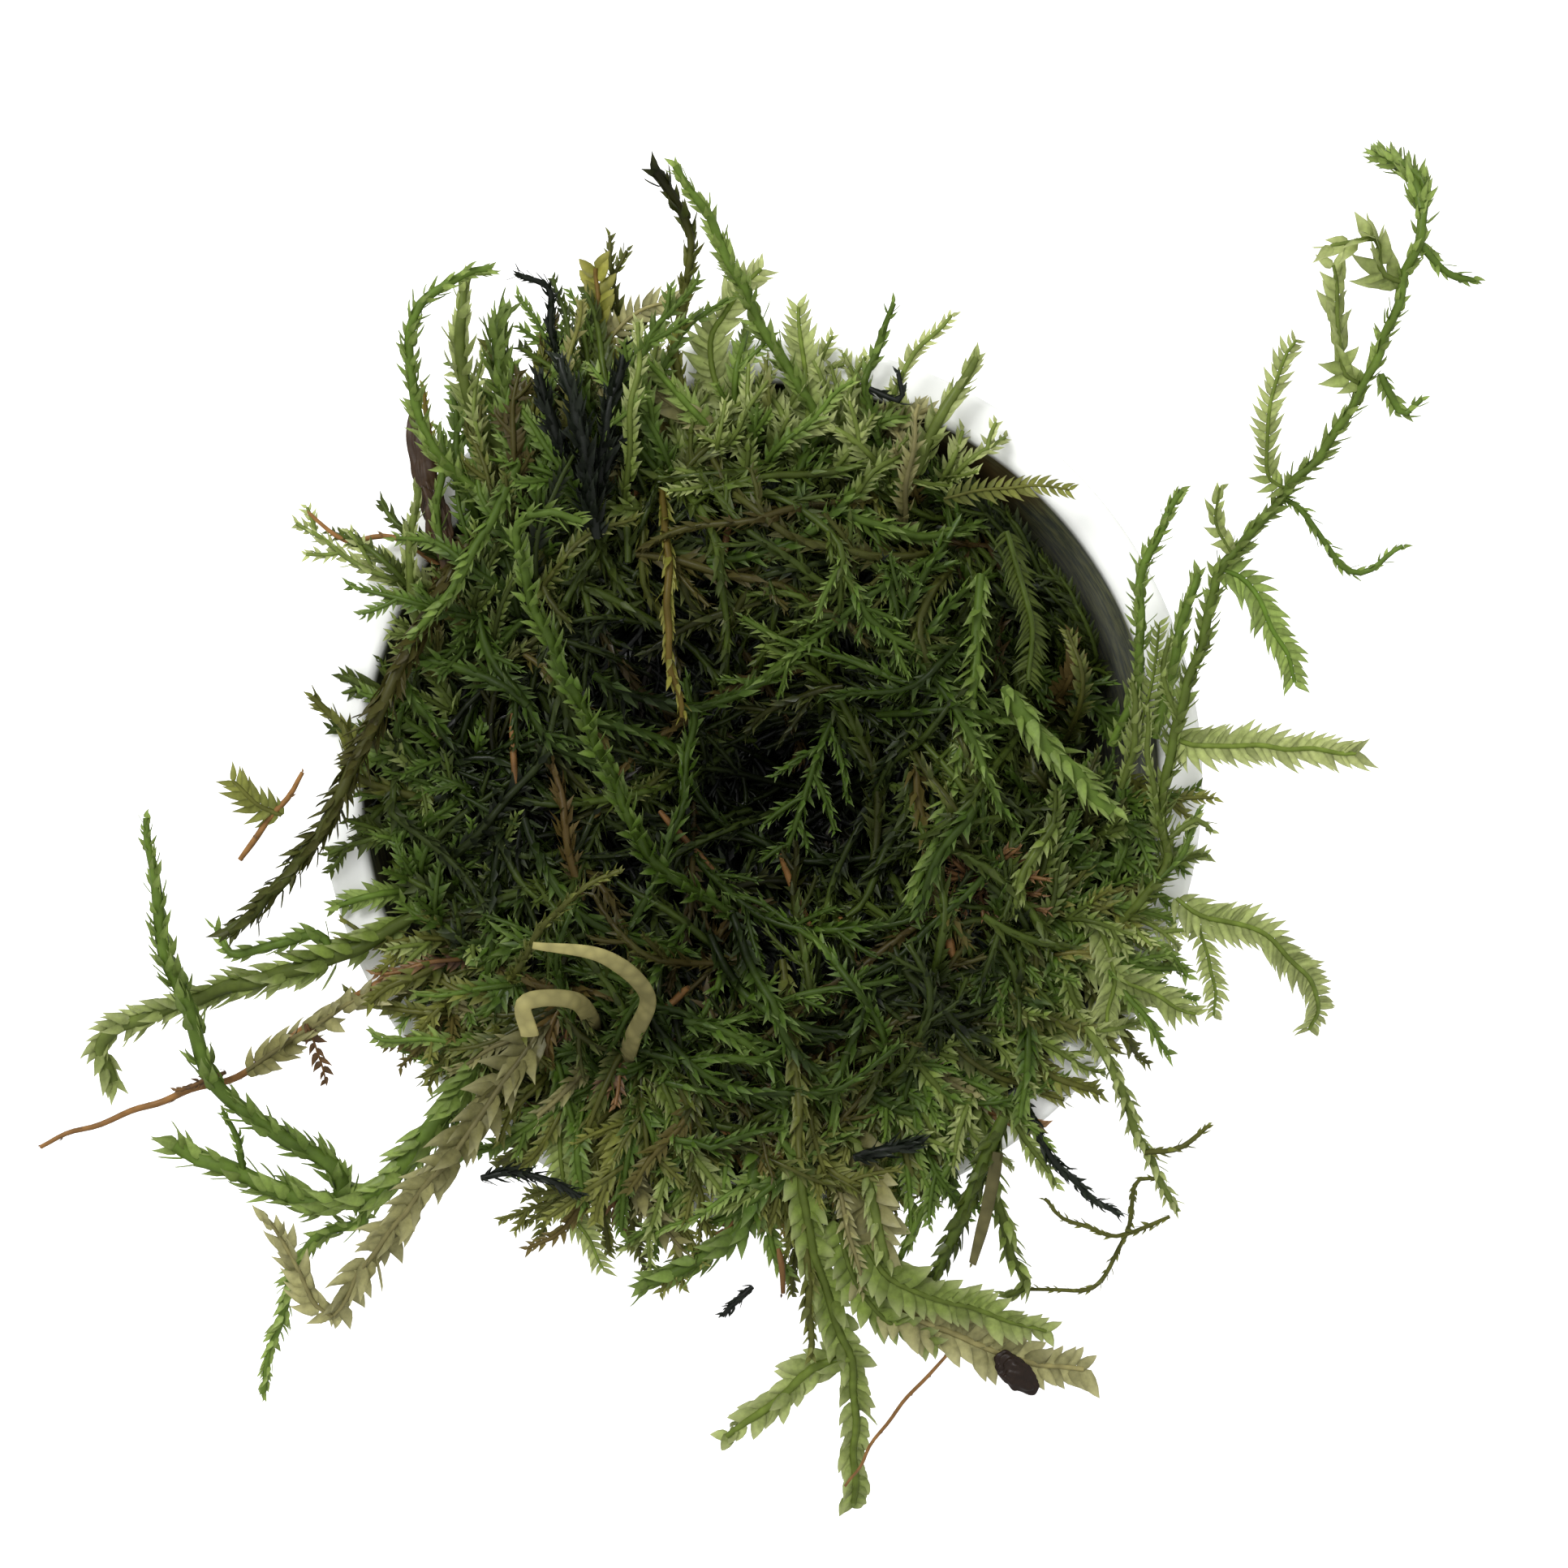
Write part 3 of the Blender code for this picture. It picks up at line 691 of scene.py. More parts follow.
def sideBranches(chance, line, every, length, dressing):
    # short branches left and right of a shoot, leaning to its tip
    points = line["points"]
    found = []
    side = 1 if chance.random() < 0.5 else -1
    for at in range(2, len(points) - 2, every):
        along = points[at + 1] - points[at - 1]
        along /= np.linalg.norm(along)
        out = np.cross((0, 0, 1), along) * side
        way = along * 0.65 + out * 0.75 + np.array((0, 0, chance.uniform(-0.1, 0.3)))
        reach = length * chance.uniform(0.6, 1.1) * (1 - 0.5 * at / len(points))
        run = np.linspace(0, reach, max(4, round(reach / 1.1)))[:, None]
        branch = points[at] + way * run + along * (run / reach) ** 2 * reach * 0.3
        found.append(dressed(branch, chance, **dressing))
        side = -side
    return found


def bedMat(name, mat):
    chance = np.random.default_rng(mat["seed"])
    lines = []
    for _ in range(mat["shoots"]):
        angle = chance.uniform(0, turn)
        share = math.sqrt(chance.uniform(0, 0.96))
        if share < 0.55 and chance.random() < mat["open"]:
            continue
        x, y = onward(0, 0, angle, bedEdge(angle) * share)
        heading = chance.uniform(0, turn)
        length = chance.uniform(*mat["long"])
        lift, arch, bend = chance.uniform(*mat["lift"]), chance.uniform(-0.3, 1.6), chance.normal(0, 1.1)
        points = bedLine(x, y, heading, length, lift, arch, bend)
        if len(points) < 4:
            continue
        tone = chance.uniform(*mat["tone"])
        dead = chance.uniform(0, 1) if chance.random() < 0.08 else 0.0
        size, twist = chance.uniform(*mat["size"]), chance.uniform(-0.9, 0.9)
        line = dressed(points, chance, size, (tone - 0.1, tone + 0.15), (dead, dead), twist, 0.25)
        lines.append(line)
        if chance.random() < 0.2:
            twigs = {"size": 0.8, "tone": (tone, tone + 0.2), "dead": (dead, dead)}
            lines += sideBranches(chance, line, 3, 4.0, {**twigs, "twist": chance.uniform(-0.6, 0.6)})
    for line in lines:
        line["tone"] = line["tone"] + paintedBedShade(line["points"])
    grow(name, lines, mat["slot"], {**shootBuilds["bed"], "seed": mat["seed"]}, "moss_bed")


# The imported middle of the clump: a closed rough lump that the shoots lie on.

coreSizes = {
    "rings": 56, "spokes": 200, "under": 1.4, "rough": 0.9, "low": 2.0, "fromWall": 0.7, "fromEdge": 0.6,
    "sides": (0.15, 0.35, 0.6, 0.8, 1.0),
}


def bedCore():
    form = bmesh.new()
    bottomAt = coreSizes["low"]

    def ring(share, low=None):
        # low is how far down the side the ring is
        corners = []
        for spoke in range(coreSizes["spokes"]):
            angle = turn * spoke / coreSizes["spokes"]
            radius = (bedEdge(angle) - coreSizes["fromEdge"]) * share
            x, y = onward(0, 0, angle, radius)
            z = bedTop(x, y) - coreSizes["under"]
            if low is not None:
                z = z + (bottomAt - z) * low
                wall = wallInside(z) - coreSizes["fromWall"]
                radius = (radius + (wall - radius) * min(low * 3, 1)) if low < 1 else wall
                x, y = onward(0, 0, angle, radius)
            at = Vector((x, y, z))
            lump = coreSizes["rough"] * (grain.noise(at * 0.5) + 0.6 * grain.noise(at * 1.3))
            corners.append(form.verts.new((x, y, z + (lump if low is None else 0))))
        return corners

    top = form.verts.new((0, 0, bedTop(0, 0) - coreSizes["under"]))
    rings = [ring((i + 1) / coreSizes["rings"]) for i in range(coreSizes["rings"])]
    rings += [ring(1.0, low) for low in coreSizes["sides"]]
    bottom = form.verts.new((0, 0, bottomAt))
    for around in range(coreSizes["spokes"]):
        after = (around + 1) % coreSizes["spokes"]
        form.faces.new((top, rings[0][around], rings[0][after]))
        for inner, outer in zip(rings, rings[1:]):
            form.faces.new((inner[around], outer[around], outer[after], inner[after]))
        form.faces.new((rings[-1][around], bottom, rings[-1][after]))
    bmesh.ops.scale(form, vec=(mm, mm, mm), verts=form.verts)
    bmesh.ops.recalc_face_normals(form, faces=form.faces)
    mesh = bpy.data.meshes.new("bedCore")
    form.to_mesh(mesh)
    form.free()
    mesh.shade_smooth()
    # the near-black moss finish is painted shade, seen in the gaps between the shoots
    mesh.materials.append(mossFinish["moss_black"])
    handOver(newPiece("bedCore", mesh), "moss_black", "moss_bed")


print("bed")
bedCore()
for matName, mat in bedMats.items():
    bedMat(matName, mat)

# The shoots that stand clear of the bed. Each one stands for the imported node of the
# same name and keeps to its route: how it is built, its slot, its size, its tone from
# foot to tip, and its plan as east, north and height over the lip.

eastShoots = {
    "long_shoot": ("prickly", "moss_green", 1.0, (0.3, 1.2), [
        (24.5, -10.5, 0.6), (26.5, -8.5, 1.9), (28.5, -5.5, 2.6), (28, -2, 3.2), (29.5, 5.5, 4.5),
        (31, 10, 5.5), (32, 14.5, 6.5), (34, 17, 7.5), (37, 20.5, 9), (40, 24, 10.5), (42, 27.5, 12),
        (43.5, 30.5, 13), (45.5, 36.5, 15), (46.5, 40, 15.5), (46, 42.5, 15), (43, 44, 12.5),
    ]),
    "long_shoot_fan": ("feather", "moss_bright", 1.02, (0.6, 1.0), [
        (30.4, 2.5, 4), (34, 2.5, 4.5), (41.5, 2, 3.5),
    ]),
    "long_shoot_low_branch": ("feather", "moss_green", 0.92, (0.8, 1.1), [
        (33.8, 14.1, 6.4), (35.5, 11.5, 6.5), (37.5, 7, 5),
    ]),
    "long_shoot_curl": ("thin", "moss_green", 0.9, (0.6, 0.9), [
        (37.9, 18.9, 8.5), (40, 16, 8.5), (42, 14.5, 8), (45, 16.5, 9),
    ]),
    "long_shoot_middle_branch": ("feather", "moss_bright", 0.76, (0.3, 0.9), [
        (35.5, 21.4, 9.2), (35.5, 25, 10.5), (36.5, 29.5, 11), (37.5, 31, 10.5),
    ]),
    "long_shoot_high_branch": ("shaggy", "moss_bright", 0.82, (0.3, 0.8), [
        (40.7, 28.7, 12.3), (40.5, 32, 13), (40, 36, 13.5),
    ]),
    "long_shoot_tuft": ("shaggy", "moss_bright", 0.95, (0.3, 0.8), [
        (43.5, 35.6, 15), (43, 38, 16), (40, 37.5, 16.5),
    ]),
    "east_tall_sprig": ("prickly", "moss_green", 1.0, (0.7, 1.2), [
        (24.5, 2.5, 0.8), (26.4, 7, 2.5), (26.6, 14, 4.5), (28.2, 18, 6), (29.5, 20.5, 6.5),
    ]),
    "east_short_sprig": ("bodied", "moss_green", 1.0, (0.8, 1.1), [
        (27.6, 3, 1.6), (29.3, 10, 3), (30.5, 14.5, 4),
    ]),
    "east_drooping_shoot": ("feather", "moss_bright", 1.0, (0.5, 0.8), [
        (29.1, -8.2, 1.9), (31, -9.5, 2.4), (35, -10.5, 2), (37.5, -13, 0.5), (39, -15, -2),
        (38.5, -17.5, -5),
    ]),
    "east_broad_shoot": ("feather", "moss_bright", 1.0, (0.3, 0.7), [
        (22, -12.5, 0.8), (25.5, -14, 1.9), (30.5, -16.4, 1.2),
    ]),
    "southeast_shoot": ("prickly", "moss_bright", 1.0, (0.4, 0.8), [
        (21, -15.3, 1), (23, -17.5, 1.8), (25, -21, 1.6), (26.5, -25, 0), (29, -30, -2),
    ]),
    "southeast_loop": ("thin", "moss_olive", 0.7, (0.5, 0.9), [
        (26.2, -28.2, -1.5), (25.5, -32, -3.5), (23, -35.5, -4), (18.5, -35.5, -3.5),
    ]),
    "southeast_dark_shoot": ("tufty", "moss_black", 0.95, (0.5, 1.0), [
        (18, -21.5, 0.8), (20, -26, 1.5), (22.5, -28.5, 1.2), (25, -30.5, 1),
    ]),
}

southShoots = {
    "south_bright_shoot": ("bodied", "moss_bright", 1.05, (0.1, 0.2), [
        (14.8, -21.5, 0.6), (16, -27, 1.7), (17.5, -33, 0), (18.5, -35, -1.2), (17.2, -36, -1.6),
    ]),
    "south_grey_shoot": ("rope", "moss_dark", 1.15, (1.0, 1.3), [
        (17, -23.5, 4.4), (15.5, -27, 4.2), (14, -30.5, 3.2), (12, -35.5, 1.5),
    ]),
    "south_shoot": ("rounded", "moss_bright", 1.0, (-0.1, 0.4), [
        (2.6, -23.5, 0.8), (3, -29.5, 2.2), (4, -34, 1.5), (5.5, -38.5, 0), (6.5, -42, -1.5),
        (6.5, -50.5, -6),
    ]),
    "south_shoot_side": ("rounded", "moss_bright", 1.0, (0.3, 0.7), [
        (4, -40.9, -1), (1.5, -43, -1.8), (-2.5, -46, -3.5),
    ]),
    "south_broad_shoot": ("broad", "moss_beige", 1.05, (-0.1, 0.7), [
        (6.5, -24.5, 0.9), (7.8, -30.5, 2), (8.2, -35, 1.5), (12, -38.1, 1), (18, -40.4, 0),
        (22.5, -41.3, -1),
    ]),
    "rhizoid_thread": ("bare", "dead_brown", 0.55, (0.7, 0.5), [
        (13, -40.2, 0), (10, -43.5, -1), (8, -46, -2), (6, -49.5, -3.8),
    ]),
    "south_feather": ("bodied", "moss_green", 1.5, (-0.1, 0.6), [
        (-0.4, -24.5, 0.7), (-0.6, -28.5, 1.7), (-2, -32, 1.2), (-8.5, -35.5, 0),
    ]),
    "south_sprig": ("feather", "moss_bright", 0.85, (0.2, 0.6), [
        (-14, -22.5, 0.6), (-14, -27, 1.5), (-13.3, -30, 1), (-11, -34, -0.5),
    ]),
    "black_shoot": ("tufty", "moss_black", 0.9, (0.3, 0.6), [
        (-19.6, -27.8, 3.8), (-17, -27.4, 4), (-12.5, -29, 3.6),
    ]),
    "beige_shoot": ("shaggy", "moss_beige", 1.12, (-0.35, 0.7), [
        (-15.5, -17.5, 2.2), (-21.5, -26, 4.6), (-26, -31.5, 3.8), (-30, -37.5, 1.5),
    ]),
    "beige_shoot_side": ("shaggy", "moss_beige", 0.85, (0.4, 0.9), [
        (-31.4, -36.5, 1.4), (-32.3, -34.3, 2), (-34.5, -30.8, 2.8),
    ]),
    "southwest_thick_shoot": ("rope", "moss_green", 1.7, (0.6, 1.1), [
        (-18.5, -17.5, 0.9), (-22.5, -23.5, 2.0), (-26.5, -28.3, 1.2), (-31, -29.5, 0.6),
        (-36, -27.7, 0.5), (-41, -25.5, 1),
    ]),
    "southwest_long_shoot": ("rope", "moss_green", 1.3, (0.4, 0.8), [
        (-29.9, -27, 1.4), (-34, -24.6, 1.8), (-38, -21.5, 2.2), (-40, -16.5, 3), (-42, -10.5, 4),
        (-43, -2.5, 5),
    ]),
    "southwest_low_shoot": ("prickly", "moss_green", 1.0, (0.8, 1.1), [
        (-27.8, -30.8, -0.2), (-31.5, -32.2, -1.5), (-33.5, -37, -3), (-35, -43, -5),
    ]),
}

westShoots = {
    "withered_stem": ("bare", "dead_brown", 1.1, (1.0, 0.6), [
        (-23.5, -12.8, 0.8), (-27.3, -14.5, 1.4), (-31.5, -17, 0.3), (-36, -20.3, -1.2),
        (-41.5, -22.2, -2.2), (-50.5, -25.5, -3.5),
    ]),
    "west_shoot": ("bodied", "moss_bright", 1.5, (-0.15, 0.6), [
        (-24.5, -9.5, 0.9), (-28.5, -11.8, 1.9), (-34, -13.6, 1), (-39, -15, -0.5), (-46, -18, -2.5),
        (-45.3, -21, -3.5),
    ]),
    "west_shoot_curl": ("thin", "moss_green", 1.4, (0.5, 0.9), [
        (-31, -10.7, 2), (-34, -11.5, 1.8), (-37, -12, 1.5), (-38.2, -10.3, 1.2),
    ]),
    "dark_long_shoot": ("tufty", "moss_dark", 1.6, (0.7, 1.2), [
        (-20, 17.5, 2.4), (-22.5, 13, 3.4), (-26, 6.5, 4), (-29.5, -1, 4.2), (-33, -6.5, 4),
        (-37.3, -10.6, 3.5),
    ]),
    "brown_cross_stem": ("bare", "dead_brown", 0.9, (0.7, 0.9), [
        (-36.5, -5.5, 2), (-34.3, -2.5, 2.5), (-32, 0.5, 3),
    ]),
    "brown_curl": ("bare", "dead_brown", 0.8, (0.9, 1.0), [
        (-21.5, 14.3, 0.9), (-25.5, 17, 1.3), (-29, 16.8, 1.5), (-31.5, 18.8, 2),
    ]),
    "northwest_arch": ("prickly", "moss_green", 1.05, (0.6, 1.0), [
        (-18.5, 19.2, 2.8), (-22.8, 23, 5.5), (-24.5, 28, 7), (-24.5, 31.5, 8), (-22.8, 34.5, 8.5),
        (-18.8, 36, 8),
    ]),
    "northwest_shoot": ("bodied", "moss_bright", 1.25, (0.1, 0.5), [
        (-16, 21, 0.8), (-20, 25.5, 2.4), (-21, 30, 3.5), (-21, 35, 3.5),
    ]),
    "northwest_broad_shoot": ("tufty", "moss_green", 2.0, (0.1, 0.6), [
        (-13, 22, 0.9), (-17.2, 26.2, 2.2), (-18.4, 29.5, 3), (-18, 33, 3),
    ]),
}

northShoots = {
    "dark_curl": ("tufty", "moss_black", 0.95, (0.3, 0.6), [
        (-11.5, 23.5, 1.2), (-13.6, 28, 2.8), (-14.6, 31.5, 3.5), (-15, 34.5, 4.5), (-17, 35.6, 5),
    ]),
    "black_tuft": ("tufty", "moss_black", 1.6, (0.2, 0.7), [
        (-11.5, 17, 4.5), (-12.5, 24, 6), (-14, 29.5, 6.5),
    ]),
    "golden_tip_shoot": ("broad", "moss_golden", 0.85, (-0.1, 0.4), [
        (-8.8, 23.5, 0.9), (-11.3, 29, 2), (-11.5, 36, 2.5),
    ]),
    "black_tip_shoot": ("bodied", "moss_olive", 0.85, (2.2, -1.0), [
        (-5, 24.5, 0.9), (-6, 30.5, 2.5), (-5, 36, 4), (-5.5, 40, 5), (-7.5, 42.5, 6),
    ]),
    "north_long_shoot": ("prickly", "moss_green", 1.15, (0.6, 1.1), [
        (4.5, 24.5, 0.9), (2.5, 28, 2.2), (0.5, 31, 3.5), (-2, 36, 5.5), (-4, 40, 7), (-6, 43, 8.5),
    ]),
    "north_pale_shoot": ("feather", "moss_bright", 1.1, (0.5, 0.9), [
        (-1.6, 24.5, 0.8), (-3.6, 29.5, 1.4), (-2.5, 33, 1.7), (0, 36, 1.5),
    ]),
    "north_twisted_sprig": ("thin", "moss_green", 1.1, (0.3, 0.5), [
        (8.2, 24, 0.8), (7.3, 28, 1.6), (8.5, 31, 2.2), (9.2, 33.5, 3),
    ]),
    "northeast_shoot": ("bodied", "moss_bright", 1.1, (0.3, 0.6), [
        (10.8, 21.5, 0.9), (12, 24.5, 1.9), (15, 29.5, 2.5),
    ]),
    "northeast_feather": ("feather", "moss_olive", 0.62, (0.4, 1.0), [
        (12.8, 19.8, 3.4), (17, 20.6, 4), (21.5, 20.5, 4),
    ]),
}

bedShoots = {
    "pale_east_blade": ("scaly", "moss_green", 0.95, (0.45, 0.8), [
        (17, 6.6, 4.4), (20, 2.5, 4.6), (24.5, -2, 4.6),
    ]),
    "diagonal_shoot": ("prickly", "moss_green", 1.15, (0.4, 0.6), [
        (15.4, 14.5, 2.8), (14, 1.5, 3.6), (8.7, -12.6, 2.8),
    ]),
    "olive_shoot": ("bodied", "moss_olive", 0.95, (0.4, 0.4), [
        (1.5, -12.5, 1.5), (2.3, -19, 3.5), (2.8, -26.5, 5),
    ]),
    "leaning_shoot": ("bold", "moss_green", 1.0, (-0.25, 0.55), [
        (-1.5, -9.5, 0.4), (-5, -7.5, 2.8), (-8, -5, 5.8), (-10.5, 0.5, 10), (-13, 6, 14.5),
        (-16, 12.5, 19), (-17, 17.5, 22), (-15, 18.8, 23), (-12.5, 18.3, 22.5),
    ]),
    "golden_shoot": ("bodied", "moss_golden", 0.78, (0.0, 0.3), [
        (-7, 20.5, 2), (-6.5, 15, 5), (-6.5, 9.5, 5.5), (-5.5, 4.5, 4),
    ]),
    "yellow_stem": ("prickly", "moss_olive", 0.7, (0.2, 0.5), [
        (-17.5, -14.3, 0.5), (-17, -13, 5), (-14, -8.7, 8), (-10, -6.3, 8.6),
    ]),
    "pale_curled_blade": ("blade", "moss_beige", 1.1, (-0.1, 1.1), [
        (-9.8, -20.4, -0.6), (-9, -18, 4), (-8, -15, 8), (-11, -12.3, 12), (-16, -11.5, 13),
    ]),
    "pale_bent_blade": ("blade", "moss_beige", 1.05, (0.0, 1.1), [
        (-11.5, -17.5, 1), (-13, -15.4, 7), (-16.5, -15.5, 9), (-16.2, -17.8, 8),
    ]),
}

# a branch starts inside the shoot that it grows from
branches = {
    "long_shoot": [
        "long_shoot_fan", "long_shoot_low_branch", "long_shoot_curl",
        "long_shoot_middle_branch", "long_shoot_high_branch", "long_shoot_tuft",
    ],
    "south_shoot": ["south_shoot_side"],
    "beige_shoot": ["beige_shoot_side"],
    "southwest_thick_shoot": ["southwest_long_shoot", "southwest_low_shoot"],
    "west_shoot": ["west_shoot_curl"],
    "southeast_shoot": ["southeast_loop"],
}
branchOf = {branch: parent for parent, grown in branches.items() for branch in grown}
shootPaths = {}
# how some shoots thin from foot to tip, and which are partly dead
shootExtras = {
    "long_shoot": {"dead": (0.3, 0.0), "foot": 1.0, "tip": 0.9},
    "long_shoot_fan": {"foot": 1.0, "tip": 0.85},
    "withered_stem": {"foot": 1.7, "tip": 0.55, "dead": (0.0, 0.0)},
    "southwest_long_shoot": {"foot": 1.15, "tip": 0.4},
    "southwest_thick_shoot": {"foot": 0.9, "tip": 0.8},
    "south_shoot": {"tip": 0.85},
    "south_broad_shoot": {"tip": 0.7},
    "golden_tip_shoot": {"foot": 0.8, "tip": 0.75},
    "pale_east_blade": {"foot": 0.6, "tip": 0.7},
    "golden_shoot": {"dead": (0.0, 0.1)},
    "black_tip_shoot": {"foot": 0.9, "tip": 1.2},
    "west_shoot": {"tip": 0.8},
    "pale_curled_blade": {"foot": 0.5, "tip": 0.35},
    "pale_bent_blade": {"foot": 0.6, "tip": 1.0},
    "yellow_stem": {"foot": 0.6, "tip": 0.7},
    "dark_long_shoot": {"dead": (0.75, 0.3), "tip": 0.8},
}


def pieceName(node):
    # long_shoot_fan becomes longShootFan
    first, *rest = node.split("_")
    return first + "".join(word.capitalize() for word in rest)


def growShoot(name, build, slot, size, tone, plan, seed, wobble, parent=None, nodes=(), **extras):
    chance = np.random.default_rng(seed)
    places = [place(*point) for point in plan]
    if parent is not None:
        places.insert(0, parent[np.argmin(np.linalg.norm(parent - places[0], axis=1))])
    smooth = build in ("blade", "strap")
    points = smoothLine(places, 0.35 if smooth else 0.7)
    path = points.copy()
    twist = chance.uniform(-0.3, 0.3)
    line = dressed(points, chance, size, tone, twist=twist, wobble=0 if smooth else wobble, **extras)
    grow(name, [line], slot, {**shootBuilds[build], "seed": seed}, *nodes)
    return path


print("clear shoots")
seed = 100
for side in (eastShoots, southShoots, westShoots, northShoots, bedShoots):
    for node, made in side.items():
        parent = shootPaths[branchOf[node]] if node in branchOf else None
        extras = shootExtras.get(node, {})
        shootPaths[node] = growShoot(pieceName(node), *made, seed, 0.12, parent, [node], **extras)
        seed += 1

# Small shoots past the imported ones, in the same form but with no node of their own.

